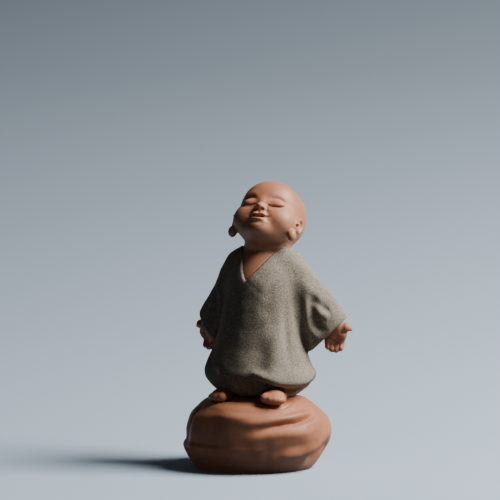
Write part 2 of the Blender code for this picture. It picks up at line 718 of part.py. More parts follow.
# Foot: toes towards -Y. Local axes: out to the side, back, up. Each toe: out, back, up, and radius
TOES = (
    (-3.4, -6.0, 3.0, 2.8),
    (-0.4, -6.9, 2.5, 2.2),
    (2.0, -6.5, 2.3, 2.0),
    (4.0, -5.5, 2.1, 1.85),
    (5.5, -4.0, 2.0, 1.7),
)
TOE_SOFT = 1.5
FOOT_MASSES = (((0, -1.5, 2.9), (6.1, 6.2, 4.3), 0), ((0, 5.0, 3.0), (5.2, 6.0, 4.8), 2.0))
FOOT_LUMPS = (
    ((0, -1.0, 2.6), (6.0, 7.0, 4.2)),
    ((0, 5, 3.0), (5.2, 6.0, 4.8)),
    ((-3.6, -6.3, 2.8), (2.5, 2.8, 2.5)),
)


def foot_form(points):
    body = pressed_together(points, FOOT_MASSES)
    for x, y, z, radius in TOES:
        body = blend(body, ellipsoid(points, (x, y, z), (radius, radius * 1.25, radius)), TOE_SOFT)
    return body


# Placing, cutting and colouring the pieces


def place_figure(obj, centre=(0, 0, 0), turn=None, side=1):
    """A piece drawn in parts, set on the boulder in metres. Side -1 mirrors it to the figure's right."""
    points = vertices_of(obj.data) * (side, 1, 1)
    points = points @ (np.eye(3) if turn is None else turn).T + np.array(centre)
    points = points * PART + (FIGURE_X, FIGURE_Y, ROCK_HEIGHT)
    finish(obj, points, side)


def place_rock(obj):
    points = vertices_of(obj.data) / ROCK_DRAWN * (ROCK_WIDTH, ROCK_DEPTH, ROCK_HEIGHT)
    finish(obj, points @ turned(z=ROCK_TURN).T)
    bm = bmesh.new()
    bm.from_mesh(obj.data)
    everything = [*bm.verts, *bm.edges, *bm.faces]
    ground, upward = (0, 0, 0), (0, 0, 1)
    cut = bmesh.ops.bisect_plane(bm, geom=everything, plane_co=ground, plane_no=upward, clear_inner=True)
    rim = [part for part in cut["geom_cut"] if isinstance(part, bmesh.types.BMEdge)]
    bmesh.ops.contextual_create(bm, geom=rim)
    bm.to_mesh(obj.data)
    bm.free()


def finish(obj, points, side=1):
    obj.data.vertices.foreach_set("co", points.ravel())
    if side < 0:
        obj.data.flip_normals()
    obj.data.shade_smooth()
    obj.data.update()


def seat(obj, neighbour):
    """Cut a seat for the neighbour in the object, one joint gap larger all round."""
    mesh = neighbour.data.copy()
    normals = np.empty(len(mesh.vertices) * 3)
    mesh.vertices.foreach_get("normal", normals)
    points = vertices_of(mesh) + JOINT_GAP * normals.reshape(-1, 3)
    mesh.vertices.foreach_set("co", points.ravel())
    cutter = new_object(f"{obj.name}_seat_for_{neighbour.name}", mesh, cutters)
    cutter.hide_render = True
    cutter.display_type = "WIRE"
    cut = obj.modifiers.new(cutter.name, "BOOLEAN")
    cut.operation = "DIFFERENCE"
    cut.solver = "EXACT"
    cut.object = cutter


def colour(obj, clay):
    shade, roughness = clay
    material = bpy.data.materials.new(f"{obj.name}_clay")
    material.use_nodes = True
    shader = material.node_tree.nodes["Principled BSDF"]
    shader.inputs["Base Color"].default_value = (*shade, 1)
    shader.inputs["Roughness"].default_value = roughness
    obj.data.materials.clear()
    obj.data.materials.append(material)


def make_rock():
    rock = skin("rock_base", ROCK_LUMPS, rock_form, BROAD_SKIN, ROCK_FACES, ROCK_CREASES)
    place_rock(rock)
    return rock


def make_foot(name, side, rock):
    foot = skin(name, FOOT_LUMPS, foot_form, PIECE_SKIN, FOOT_FACES)
    place_figure(foot, FOOT_PLACES[name], FOOT_SCALES[name] * turned(z=side * FOOT_TOE_OUT), side)
    seat(foot, rock)
    return foot


def make_hand(name, side):
    hand = skin(name, HAND_LUMPS, hand_form, PIECE_SKIN, HAND_FACES, HAND_STROKES)
    place_figure(hand, HAND_PLACES[name], HAND_TURNS[name], side)
    return hand


def make_head():
    head = skin("head", bust_lumps(), bust_form, FINE_SKIN, HEAD_FACES, tuple(head_strokes()))
    place_figure(head)
    return head


def make_robe(neighbours):
    robe = skin("robe", ROBE_LUMPS, robe_form, CLOTH_SKIN, ROBE_FACES, tuple(robe_strokes()))
    place_figure(robe)
    for neighbour in neighbours:
        seat(robe, neighbour)
    return robe


for leftover in list(bpy.data.objects):
    bpy.data.objects.remove(leftover)
ornament = bpy.data.collections.new("baby_monk_ornament")
cutters = bpy.data.collections.new("cutters")
bpy.context.scene.collection.children.link(ornament)
bpy.context.scene.collection.children.link(cutters)

rock_base = make_rock()
left_foot = make_foot("left_foot", 1, rock_base)
right_foot = make_foot("right_foot", -1, rock_base)
left_hand = make_hand("left_hand", 1)
right_hand = make_hand("right_hand", -1)
head = make_head()
robe = make_robe((rock_base, left_foot, right_foot, left_hand, right_hand))
for piece in (rock_base, left_foot, right_foot, left_hand, right_hand, head):
    colour(piece, RED_CLAY)
colour(robe, GREY_CLAY)
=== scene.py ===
import math

import bmesh
import bpy
import numpy as np
from mathutils import Euler, Matrix, Vector, noise


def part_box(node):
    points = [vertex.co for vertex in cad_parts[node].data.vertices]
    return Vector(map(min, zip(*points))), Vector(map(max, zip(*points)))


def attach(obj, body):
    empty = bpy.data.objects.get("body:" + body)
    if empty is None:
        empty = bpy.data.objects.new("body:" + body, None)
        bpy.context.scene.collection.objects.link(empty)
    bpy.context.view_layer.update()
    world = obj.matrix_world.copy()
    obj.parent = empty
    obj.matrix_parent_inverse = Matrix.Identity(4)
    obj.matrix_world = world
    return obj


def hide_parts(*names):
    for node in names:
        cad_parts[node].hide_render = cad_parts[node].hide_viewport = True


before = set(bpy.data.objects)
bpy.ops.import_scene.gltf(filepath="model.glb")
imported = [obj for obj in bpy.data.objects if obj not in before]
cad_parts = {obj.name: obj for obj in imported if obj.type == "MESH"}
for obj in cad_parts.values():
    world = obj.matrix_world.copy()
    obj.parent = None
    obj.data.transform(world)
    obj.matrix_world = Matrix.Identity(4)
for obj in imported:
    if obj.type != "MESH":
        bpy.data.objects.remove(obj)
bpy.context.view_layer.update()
studio = bpy.context.scene


# Boulder: a river stone that the monk stands on, of smooth red-brown clay, hollow and unglazed.
# It is pressed in a mould, then its folds are pushed in by hand and the damp clay is rubbed smooth.

# The boulder is drawn in a box of its own, in millimetres: across, away from the front, up
ROCK_WIDTH = 0.075
ROCK_DEPTH = 0.064
ROCK_DRAWN = np.array((75.0, 64.0, 38.0))
ROCK_TURN = 24.0
ROCK_SKIN = 0.5
# The least length to divide by
TINY = 1e-9
# A form's slope is read over this step, and a point never moves farther than this at a time
SLOPE_STEP = 0.01
LEAST_SLOPE = 0.05
LONGEST_MOVE = 1.5
# Facets of the rough lumps that a piece starts from
LUMP_SEGMENTS = 28
LUMP_RINGS = 16
# How often a fused skin is evened out, and by what share of the way each time
EVEN_ROUNDS = 3
EVEN_SHARE = 0.5
# A stroke acts as far as this many widths, and presses in and lifts over this share of its length
STROKE_REACH = 3
STROKE_FADE = 0.28
# A stroke leaves the far side of a thin wall alone
SAME_SIDE = 2.0


def ellipsoid(points, centre, radii):
    """How far each point lies outside an egg-shaped mass."""
    offset = points - np.array(centre, float)
    near = np.linalg.norm(offset / np.array(radii, float), axis=1)
    slope = np.linalg.norm(offset / np.square(np.array(radii, float)), axis=1)
    return near * (near - 1) / np.maximum(slope, TINY)


def smooth_rows(rows, per_span=8):
    """Rows of numbers on a smooth curve through the given rows."""
    rows = np.array(rows, float)
    padded = np.vstack([2 * rows[0] - rows[1], rows, 2 * rows[-1] - rows[-2]])
    found = []
    for k in range(1, len(padded) - 2):
        a, b, c, d = padded[k - 1 : k + 3]
        for step in range(per_span):
            t = step / per_span
            bend = (2 * a - 5 * b + 4 * c - d) * t**2 + (3 * b - a - 3 * c + d) * t**3
            found.append(0.5 * (2 * b + (c - a) * t + bend))
    return np.array([*found, rows[-1]])


def tapered_body(points, rows):
    """A body with an ellipse at each height. A row is a height, two half widths and two shifts."""
    wide, deep, shift_x, shift_y = (np.interp(points[:, 2], rows[:, 0], rows[:, k]) for k in range(1, 5))
    x, y = points[:, 0] - shift_x, points[:, 1] - shift_y
    near = np.hypot(x / wide, y / deep)
    slope = np.hypot(x / wide**2, y / deep**2)
    return near * (near - 1) / np.maximum(slope, TINY)


def blend(first, second, soft):
    """Two clays pressed together, with a fillet about soft wide."""
    share = np.clip(0.5 + 0.5 * (second - first) / soft, 0, 1)
    return second * (1 - share) + first * share - soft * share * (1 - share)


def keep_inside(first, second, soft):
    """What two forms share."""
    return -blend(-first, -second, soft)


def turned(x=0.0, y=0.0, z=0.0):
    """A rotation by degrees, as an array whose columns are the turned axes."""
    return np.array(Euler((math.radians(x), math.radians(y), math.radians(z))).to_matrix())


def slope_of(points, form, height):
    """Which way a form rises at each point, and how steeply."""
    moved = [form(points + SLOPE_STEP * np.eye(3)[axis]) for axis in range(3)]
    return np.stack([(there - height) / SLOPE_STEP for there in moved], axis=1)


def outward_of(points, form):
    """The way straight out of a form at each point."""
    slope = slope_of(points, form, form(points))
    return slope / np.maximum(np.linalg.norm(slope, axis=1), TINY)[:, None]


def lay(points, form, steps=5):
    """The points moved onto the form's surface."""
    for _ in range(steps):
        height = form(points)
        slope = slope_of(points, form, height)
        move = -(height / np.maximum(np.sum(slope**2, axis=1), LEAST_SLOPE))[:, None] * slope
        length = np.linalg.norm(move, axis=1)
        points = points + move * np.minimum(1, LONGEST_MOVE / np.maximum(length, TINY))[:, None]
    return points


def pressed(points, form, strokes):
    """The points after a tool has followed each stroke: a path, its width and its depth.

    A stroke whose depth is below 0 raises the clay."""
    outward = outward_of(points, form)
    depth_here = np.zeros(len(points))
    for path, width, depth in strokes:
        line = lay(smooth_rows(path), form)
        line_out = outward_of(line, form)
        reach = STROKE_REACH * width
        close = np.all((points > line.min(0) - reach) & (points < line.max(0) + reach), axis=1)
        spot = points[close]
        best, where, facing = np.full(len(spot), np.inf), np.zeros(len(spot)), np.zeros(len(spot))
        for k, (a, b) in enumerate(zip(line[:-1], line[1:])):
            along = np.clip((spot - a) @ (b - a) / max(np.sum((b - a) ** 2), TINY), 0, 1)
            far = np.linalg.norm(spot - a - along[:, None] * (b - a), axis=1)
            nearer = far < best
            best[nearer], where[nearer] = far[nearer], (k + along[nearer]) / (len(line) - 1)
            facing[nearer] = outward[close][nearer] @ line_out[k]
        from_end = np.clip(np.minimum(where, 1 - where) / STROKE_FADE, 0, 1)
        fade = from_end**2 * (3 - 2 * from_end)
        same_side = np.clip(SAME_SIDE * facing, 0, 1)
        depth_here[close] += depth * fade * same_side * np.exp(-((best / width) ** 2))
    return points - depth_here[:, None] * outward


def relaxed(points, edges, form):
    """The points evened out along the form's surface."""
    a, b = edges[:, 0], edges[:, 1]
    count = np.bincount(edges.ravel(), minlength=len(points))
    total = np.empty_like(points)
    for axis in range(3):
        values = points[:, axis]
        total[:, axis] = np.bincount(a, values[b], len(points)) + np.bincount(b, values[a], len(points))
    return lay(points + EVEN_SHARE * (total / count[:, None] - points), form, steps=2)


def vertices_of(mesh):
    points = np.empty(len(mesh.vertices) * 3)
    mesh.vertices.foreach_get("co", points)
    return points.reshape(-1, 3)


def edges_of(mesh):
    edges = np.empty(len(mesh.edges) * 2, int)
    mesh.edges.foreach_get("vertices", edges)
    return edges.reshape(-1, 2)


def uneven(points, spacing, height):
    """How far a hand-smoothed surface strays from true at each point."""
    return height * np.array([noise.noise(Vector(p / spacing)) for p in points])


def skin(name, lumps, form, fineness, strokes=(), wander=(9.0, 0.0)):
    """One closed piece of clay over rough lumps, each a centre and three radii."""
    bm = bmesh.new()
    for centre, radii in lumps:
        place = Matrix.Translation(centre) @ Matrix.Diagonal((*radii, 1))
        bmesh.ops.create_uvsphere(
            bm, u_segments=LUMP_SEGMENTS, v_segments=LUMP_RINGS, radius=1, matrix=place
        )
    mesh = bpy.data.meshes.new(name)
    bm.to_mesh(mesh)
    bm.free()
    piece = bpy.data.objects.new(name, mesh)
    studio.collection.objects.link(piece)
    for voxel in (2 * fineness, fineness, fineness):
        fuse = piece.modifiers.new("fuse", "REMESH")
        fuse.mode = "VOXEL"
        fuse.voxel_size = voxel
        shaped = piece.evaluated_get(bpy.context.evaluated_depsgraph_get())
        fused = bpy.data.meshes.new_from_object(shaped)
        piece.modifiers.clear()
        piece.data = fused
        points = lay(vertices_of(fused), form)
        for _ in range(EVEN_ROUNDS):
            points = relaxed(points, edges_of(fused), form)
        fused.vertices.foreach_set("co", points.ravel())
        fused.update()
    points = pressed(points, form, strokes)
    spacing, height = wander
    normals = np.empty(len(points) * 3)
    fused.vertices.foreach_get("normal", normals)
    points += uneven(points, spacing, height)[:, None] * normals.reshape(-1, 3)
    fused.vertices.foreach_set("co", points.ravel())
    fused.shade_smooth()
    fused.update()
    return piece


def put(tree, kind, feeds=(), **settings):
    """A new node, with its settings and what feeds each socket: a value, or another node's output."""
    node = tree.nodes.new(f"ShaderNode{kind}")
    for key, value in settings.items():
        setattr(node, key, value)
    for socket, source in dict(feeds).items():
        if isinstance(source, bpy.types.NodeSocket):
            tree.links.new(source, node.inputs[socket])
        else:
            node.inputs[socket].default_value = source
    return node


def effect(name, inputs, outputs):
    """An empty effect with named sockets, each a kind and, for an input, its usual value."""
    tree = bpy.data.node_groups.new(name, "ShaderNodeTree")
    for label, (kind, usual) in inputs.items():
        socket = tree.interface.new_socket(label, in_out="INPUT", socket_type=f"NodeSocket{kind}")
        socket.default_value = usual
    for label, kind in outputs.items():
        tree.interface.new_socket(label, in_out="OUTPUT", socket_type=f"NodeSocket{kind}")
    return tree, tree.nodes.new("NodeGroupInput").outputs


def put_out(tree):
    return tree.nodes.new("NodeGroupOutput")


def mix(tree, share, first, second):
    """A colour between two colours."""
    node = put(tree, "Mix", data_type="RGBA")
    for socket, source in ((0, share), (6, first), (7, second)):
        if isinstance(source, bpy.types.NodeSocket):
            tree.links.new(source, node.inputs[socket])
        else:
            node.inputs[socket].default_value = source
    return node.outputs[2]


def sum_of(tree, operation, first, second, third=0.0):
    """A Math node's result."""
    return put(tree, "Math", {0: first, 1: second, 2: third}, operation=operation).outputs[0]


def between(tree, value, low, high):
    """0 where the value is under low and 1 over high, smooth in between."""
    feeds = {"Value": value, "From Min": low, "From Max": high}
    return put(tree, "MapRange", feeds, interpolation_type="SMOOTHSTEP").outputs["Result"]


def make_fired_tone():
    """Cloudy colour of a kiln-fired body: broad clouds and small mottles between two tones."""
    tree, given = effect(
        "fired_tone",
        {
            "Pale": ("Color", (0.5, 0.3, 0.2, 1)),
            "Deep": ("Color", (0.3, 0.15, 0.1, 1)),
            "Cloud Spacing": ("Float", 0.02),
            "Mottle Spacing": ("Float", 0.0015),
            "Mottle Share": ("Float", 0.3),
        },
        {"Color": "Color", "Height": "Float"},
    )
    where = put(tree, "TexCoord").outputs["Object"]
    cloud_scale = sum_of(tree, "DIVIDE", 1.0, given["Cloud Spacing"])
    mottle_scale = sum_of(tree, "DIVIDE", 1.0, given["Mottle Spacing"])
    cloud = put(tree, "TexNoise", {"Vector": where, "Scale": cloud_scale, "Detail": 3.0}).outputs["Fac"]
    mottle = put(tree, "TexNoise", {"Vector": where, "Scale": mottle_scale, "Detail": 4.0}).outputs["Fac"]
    clouds = between(tree, cloud, 0.32, 0.68)
    mottles = between(tree, mottle, 0.3, 0.7)
    apart = sum_of(tree, "SUBTRACT", mottles, clouds)
    blended = sum_of(tree, "MULTIPLY_ADD", apart, given["Mottle Share"], clouds)
    tone = mix(tree, blended, given["Deep"], given["Pale"])
    out = put_out(tree)
    tree.links.new(tone, out.inputs["Color"])
    tree.links.new(mottle, out.inputs["Height"])
    return tree


def make_sand():
    """Grains of sand in the clay: each grain has a shade of its own, and some are pale, some dark."""
    tree, given = effect(
        "sand",
        {
            "Body": ("Color", (0.3, 0.3, 0.3, 1)),
            "Pale Grain": ("Color", (0.6, 0.6, 0.5, 1)),
            "Dark Grain": ("Color", (0.02, 0.02, 0.02, 1)),
            "Grain Size": ("Float", 0.0006),
            "Pale Share": ("Float", 0.2),
            "Dark Share": ("Float", 0.2),
            "Strength": ("Float", 1.0),
        },
        {"Color": "Color", "Height": "Float"},
    )
    where = put(tree, "TexCoord").outputs["Object"]
    scale = sum_of(tree, "DIVIDE", 1.0, given["Grain Size"])
    grains = put(tree, "TexVoronoi", {"Vector": where, "Scale": scale, "Randomness": 1.0})
    lottery = put(tree, "SeparateColor", {"Color": grains.outputs["Color"]}).outputs["Red"]
    roundness = sum_of(tree, "SUBTRACT", 1.0, between(tree, grains.outputs["Distance"], 0.3, 0.55))
    pale = sum_of(tree, "GREATER_THAN", lottery, sum_of(tree, "SUBTRACT", 1.0, given["Pale Share"]))
    dark = sum_of(tree, "LESS_THAN", lottery, given["Dark Share"])
    pale_here = sum_of(tree, "MULTIPLY", sum_of(tree, "MULTIPLY", pale, roundness), given["Strength"])
    dark_here = sum_of(tree, "MULTIPLY", sum_of(tree, "MULTIPLY", dark, roundness), given["Strength"])
    half_speckled = mix(tree, pale_here, given["Body"], given["Pale Grain"])
    speckled = mix(tree, dark_here, half_speckled, given["Dark Grain"])
    height = sum_of(tree, "MULTIPLY", roundness, lottery)
    out = put_out(tree)
    tree.links.new(speckled, out.inputs["Color"])
    tree.links.new(height, out.inputs["Height"])
    return tree


def make_rubbed_and_hollow_shade():
    """Colour and gloss of clay that hands have rubbed: ridges are paler from wear and smoother than
    hollows, and hollows are darkened with painted shade.
    """
    tree, given = effect(
        "rubbed",
        {
            "Color": ("Color", (0.5, 0.3, 0.2, 1)),
            "Ridge": ("Color", (0.6, 0.4, 0.3, 1)),
            "Painted Hollow Shade": ("Color", (0.2, 0.1, 0.05, 1)),
            "Share": ("Float", 0.4),
            "Smooth": ("Float", 0.5),
            "Rough": ("Float", 0.7),
        },
        {"Color": "Color", "Roughness": "Float"},
    )
    bend = put(tree, "NewGeometry").outputs["Pointiness"]
    ridge = sum_of(tree, "MULTIPLY", between(tree, bend, 0.505, 0.58), given["Share"])
    # Painted shade: hollows, found by the mesh's pointiness, are darkened towards a dark shade colour
    hollow = sum_of(tree, "MULTIPLY", between(tree, bend, 0.495, 0.42), given["Share"])
    worn_and_shaded = mix(tree, hollow, mix(tree, ridge, given["Color"], given["Ridge"]), given["Painted Hollow Shade"])
    where = put(tree, "TexCoord").outputs["Object"]
    patch = put(tree, "TexNoise", {"Vector": where, "Scale": 140.0}).outputs["Fac"]
    gloss = sum_of(tree, "ADD", sum_of(tree, "MULTIPLY", hollow, 0.6), between(tree, patch, 0.3, 0.7))
    span = sum_of(tree, "SUBTRACT", given["Rough"], given["Smooth"])
    roughness = sum_of(tree, "MULTIPLY_ADD", sum_of(tree, "MINIMUM", gloss, 1.0), span, given["Smooth"])
    out = put_out(tree)
    tree.links.new(worn_and_shaded, out.inputs["Color"])
    tree.links.new(roughness, out.inputs["Roughness"])
    return tree


fired_tone = make_fired_tone()
sand = make_sand()
# Ridges paler from wear, and painted shade in the hollows
rubbed = make_rubbed_and_hollow_shade()

RED_PALE = (0.53, 0.225, 0.125, 1)
RED_DEEP = (0.41, 0.15, 0.075, 1)
RED_RIDGE = (0.6, 0.29, 0.175, 1)
# Painted shade for the hollows of the red clay
RED_PAINTED_HOLLOW_SHADE = (0.19, 0.055, 0.025, 1)
RED_GRAIN = (0.55, 0.33, 0.22, 1)
RED_FLECK = (0.12, 0.05, 0.035, 1)


def clay_material(name, tone, sanding, rubbing_and_hollow_shade, relief, sheen):
    """Fired clay without glaze: cloudy body, sand in it, a surface rubbed while it was damp, and painted
    shade in its hollows.
    """
    material = bpy.data.materials.new(name)
    material.use_nodes = True
    tree = material.node_tree
    shader = tree.nodes["Principled BSDF"]
    body = put(tree, "Group", node_tree=fired_tone)
    grit = put(tree, "Group", node_tree=sand)
    rubbing_and_shade = put(tree, "Group", node_tree=rubbed)
    for node, values in ((body, tone), (grit, sanding), (rubbing_and_shade, rubbing_and_hollow_shade)):
        for label, value in values.items():
            node.inputs[label].default_value = value
    tree.links.new(body.outputs["Color"], grit.inputs["Body"])
    tree.links.new(grit.outputs["Color"], rubbing_and_shade.inputs["Color"])
    tree.links.new(rubbing_and_shade.outputs["Color"], shader.inputs["Base Color"])
    tree.links.new(rubbing_and_shade.outputs["Roughness"], shader.inputs["Roughness"])
    grit_depth, body_depth, strength = relief
    heights = sum_of(tree, "MULTIPLY", grit.outputs["Height"], grit_depth)
    heights = sum_of(tree, "MULTIPLY_ADD", body.outputs["Height"], body_depth, heights)
    bump = put(tree, "Bump", {"Height": heights, "Distance": 1.0, "Strength": strength})
    tree.links.new(bump.outputs["Normal"], shader.inputs["Normal"])
    shader.inputs["Specular IOR Level"].default_value = sheen
    return material


def red_clay(name, smooth, rough, sheen=0.5, tones=(RED_PALE, RED_DEEP)):
    """The red body, rubbed with a wet thumb until it is fine to the touch."""
    return clay_material(
        name,
        {
            "Pale": tones[0],
            "Deep": tones[1],
            "Cloud Spacing": 0.022,
            "Mottle Spacing": 0.0022,
            "Mottle Share": 0.3,
        },
        {
            "Pale Grain": RED_GRAIN,
            "Dark Grain": RED_FLECK,
            "Grain Size": 0.00042,
            "Pale Share": 0.05,
            "Dark Share": 0.03,
            "Strength": 0.35,
        },
        # Ridges paler from wear; hollows darkened with painted shade
        {"Ridge": RED_RIDGE, "Painted Hollow Shade": RED_PAINTED_HOLLOW_SHADE, "Share": 0.35, "Smooth": smooth, "Rough": rough},
        (0.00001, 0.00006, 0.6),
        sheen,
    )


# Height, half width, half depth, sideways and backward shift
ROCK_ROWS = smooth_rows(
    (
        (-4, 27.0, 21.5, -1.3, 0.5),
        (0, 28.7, 23.0, -1.3, 0.5),
        (3, 31.4, 26.0, -1.4, 0.3),
        (11, 36.0, 31.0, -0.9, 0.0),
        (15, 36.0, 32.0, 0.6, 0.0),
        (20, 36.2, 32.0, 0.9, 0.0),
        (25, 34.8, 31.4, 0.7, -0.2),
        (28, 32.6, 30.4, 0.0, -0.4),
        (31, 29.6, 29.0, -0.2, -0.6),
        (34, 27.2, 27.6, -0.6, -0.8),
        (40, 23.0, 23.0, -0.6, 0.0),
    )
)
ROCK_CROWN = ((0, 0, -20), (75, 70, 58))
CROWN_SOFT = 3.5
ROCK_LUMPS = (((-2, 0, 15), (33, 29, 18)), ((6, -1, 22), (26, 26, 14)))
ROCK_CREASES = (
    # The edge between the top and the front
    (((-27, -17, 28.5), (-18, -25, 28.8), (-6, -31, 28.2), (6, -31, 28.6), (14, -28, 29.5)), 2.6, -0.5),
    # The deep crease below the front foot, and the tongue of clay above it
    (
        (
            (29, -13, 29.3), (25.7, -20, 27.7), (20, -26, 26.1),
            (15, -29, 25.8), (8, -31, 24.6), (-3, -32, 22),
        ),
        1.5,
        2.2,
    ),
    (
        ((29, -14, 32), (23, -21, 29.8), (15, -28, 28.5), (6, -31, 27.2), (-3, -31, 25.6), (-10, -30, 25)),
        2.2,
        -1.0,
    ),
    (((31, -12, 34), (24, -19, 32.3), (16, -26, 31.6), (8, -30, 31)), 2.0, 0.3),
    # The swelling below the crease, the hollow below that, and the low swellings at its left and right
    (((29, -17, 21), (21, -26, 20.6), (10, -31, 20.4), (0, -32, 19), (-9, -31, 17)), 2.6, -1.0),
    (((27, -20, 14.6), (21, -26, 13.6), (14, -30, 12.6), (6, -31.5, 12), (-2, -31, 12.6)), 3.4, 1.1),
    (((31, -12, 13), (25, -20, 11), (17, -26, 9.5), (9, -28, 9)), 3.2, -0.8),
    # The left side: a long edge down the front, worn hollows beside it and a groove at the far left
    (((-19, -24, 34), (-21.5, -25, 24), (-21.5, -25, 12), (-19, -23, -3)), 6.6, 0.9),
    (((-29, -12, 31), (-31.5, -13, 20), (-30, -13, 6)), 2.6, -0.6),
    (((-24, -8, 34), (-30.0, -9, 29), (-33.0, -8.5, 22), (-34, -6, 11)), 2.0, 1.0),
    (((-8, -30, 9), (0, -31, 8), (9, -30, 6)), 4.5, 0.6),
    # The flat worn on the lower right, and its edge
    (((37, -4, 15), (32, -12, 9.5), (24, -20, 4)), 4.6, 1.6),
    (((38, -6, 20), (31, -15, 15), (22, -23, 9)), 2.6, -0.5),
    # Round the back
    (((32, 10, 28), (24, 22, 23), (10, 30, 19), (-9, 32, 14)), 2.2, 1.9),
    (((33, 8, 22), (24, 22, 17), (8, 31, 12)), 3.0, -1.1),
    (((-35, 5, 20), (-27, 20, 17), (-14, 29, 12), (3, 31, 8)), 3.2, 1.6),
    (((-32, 8, 28), (-22, 22, 25), (-7, 29, 21)), 3.2, -1.1),
    (((34, 0, 11), (30, 14, 9), (18, 26, 6)), 3.5, 1.1),
    # Small dents of the maker's thumb on the shoulders
    (((17, 4, 37), (22, 12, 34), (19, 21, 31)), 3.0, 0.8),
    (((-21, 6, 35), (-18, 15, 34), (-10, 22, 33)), 3.2, 0.8),
    # Clay pushed up around the front foot as it was pressed in
    (
        (
            (-1, -18, 36), (1.4, -23, 35), (6, -26.8, 34),
            (11.5, -26.8, 34), (15.6, -23, 35), (17.4, -17, 36),
        ),
        0.6,
        0.4,
    ),
    (
        (
            (-2, -18, 36), (0.4, -23.8, 34), (5.6, -28, 33),
            (12, -28, 33), (16.8, -23.6, 34), (18.8, -17, 36),
        ),
        0.8,
        -0.3,
    ),
)


def rock_form(points):
    return keep_inside(tapered_body(points, ROCK_ROWS), ellipsoid(points, *ROCK_CROWN), CROWN_SOFT)


rock_low, rock_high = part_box("rock_base")
ROCK_HEIGHT = rock_high.z - rock_low.z
boulder = skin("boulder", ROCK_LUMPS, rock_form, ROCK_SKIN, ROCK_CREASES, (7.0, 0.14))
rock_points = vertices_of(boulder.data) / ROCK_DRAWN * (ROCK_WIDTH, ROCK_DEPTH, ROCK_HEIGHT)
boulder.data.vertices.foreach_set("co", (rock_points @ turned(z=ROCK_TURN).T).ravel())


def flat_below(piece, height):
    """Cut the piece off flat at a height, and close it."""
    bm = bmesh.new()
    bm.from_mesh(piece.data)
    everything = [*bm.verts, *bm.edges, *bm.faces]
    level, upward = (0, 0, height), (0, 0, 1)
    cut = bmesh.ops.bisect_plane(bm, geom=everything, plane_co=level, plane_no=upward, clear_inner=True)
    rim = [found for found in cut["geom_cut"] if isinstance(found, bmesh.types.BMEdge)]
    base = bmesh.ops.contextual_create(bm, geom=rim)["faces"]
    for face in base:
        face.smooth = False
    for edge in rim:
        edge.smooth = False
    bm.to_mesh(piece.data)
    bm.free()


flat_below(boulder, rock_low.z)
boulder.data.materials.append(red_clay("rubbed_boulder_clay", 0.5, 0.66))
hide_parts("rock_base")
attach(boulder, "root")


# Feet: two small bare feet of the same red clay, their toes under the hem.
# They are modelled on the boulder, with a fine line of slip pushed up around the toes.

# The figure is drawn in parts, which are this many to its height above the boulder's crown
FIGURE_PARTS = 104.6
PART = (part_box("head")[1].z - rock_high.z) / FIGURE_PARTS
FIGURE_PLACE = np.array((0.0023, 0.001, rock_high.z))
FOOT_SKIN = 0.22
FOOT_TOE_OUT = 8.0
FOOT_SCALES = {"left_foot": 0.93, "right_foot": 0.87}
FOOT_PLACES = {"left_foot": (13.9, -16.2, -3.0), "right_foot": (-13.5, -16.8, -3.2)}


def place_figure(piece, centre=(0, 0, 0), turn=None, side=1):
    """A piece drawn in parts, set on the boulder in metres. Side -1 mirrors it to the figure's right."""
    points = vertices_of(piece.data) * (side, 1, 1)
    points = points @ (np.eye(3) if turn is None else turn).T + np.array(centre)
    piece.data.vertices.foreach_set("co", (points * PART + FIGURE_PLACE).ravel())
    if side < 0:
        piece.data.flip_normals()
    piece.data.update()


def limb(points, start, end, start_radius, end_radius):
    """How far each point lies outside a round limb that tapers from start to end."""
    start, end = np.array(start, float), np.array(end, float)
    along = np.clip((points - start) @ (end - start) / np.sum((end - start) ** 2), 0, 1)
    nearest = start + along[:, None] * (end - start)
    return np.linalg.norm(points - nearest, axis=1) - (start_radius + along * (end_radius - start_radius))


def pressed_together(points, masses):
    """Egg-shaped masses, each pressed onto the ones before: centre, radii and softness of the joint."""
    body = ellipsoid(points, *masses[0][:2])
    for centre, radii, soft in masses[1:]:
        body = blend(body, ellipsoid(points, centre, radii), soft)
    return body


# Each toe: out from the big toe's side, back, up, and radius
TOES = (
    (-3.4, -6.0, 3.0, 2.8),
    (-0.4, -6.9, 2.5, 2.2),
    (2.0, -6.5, 2.3, 2.0),
    (4.0, -5.5, 2.1, 1.85),
    (5.5, -4.0, 2.0, 1.7),
)
TOE_SOFT = 1.5
TOE_LENGTHEN = 1.25
FOOT_MASSES = (((0, -1.5, 2.9), (6.1, 6.2, 4.3), 0), ((0, 5.0, 3.0), (5.2, 6.0, 4.8), 2.0))
FOOT_LUMPS = (
    ((0, -1.0, 2.6), (6.0, 7.0, 4.2)),
    ((0, 5, 3.0), (5.2, 6.0, 4.8)),
    ((-3.6, -6.3, 2.8), (2.5, 2.8, 2.5)),
)
# A toenail is a shallow flat pressed on top of the big toe
FOOT_STROKES = ((((-4.8, -8.2, 4.6), (-3.7, -8.6, 4.9), (-2.6, -8.3, 4.6)), 0.5, 0.18),)


def foot_form(points):
    body = pressed_together(points, FOOT_MASSES)
    for x, y, z, radius in TOES:
        body = blend(body, ellipsoid(points, (x, y, z), (radius, radius * TOE_LENGTHEN, radius)), TOE_SOFT)
    return body


foot_clay = red_clay("rubbed_foot_clay", 0.48, 0.62)
for node, side in (("left_foot", 1), ("right_foot", -1)):
    foot = skin(f"bare_{node}", FOOT_LUMPS, foot_form, FOOT_SKIN, FOOT_STROKES)
    place_figure(foot, FOOT_PLACES[node], FOOT_SCALES[node] * turned(z=side * FOOT_TOE_OUT), side)
    foot.data.materials.append(foot_clay)
    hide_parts(node)
    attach(foot, "root")


# Robe: a loose wide-sleeved robe with a V neck, of grey-brown clay full of coarse sand.
# It is carved clay and no cloth: the folds are modelled in the thick wall and left rough and matt.

ROBE_SKIN = 0.47
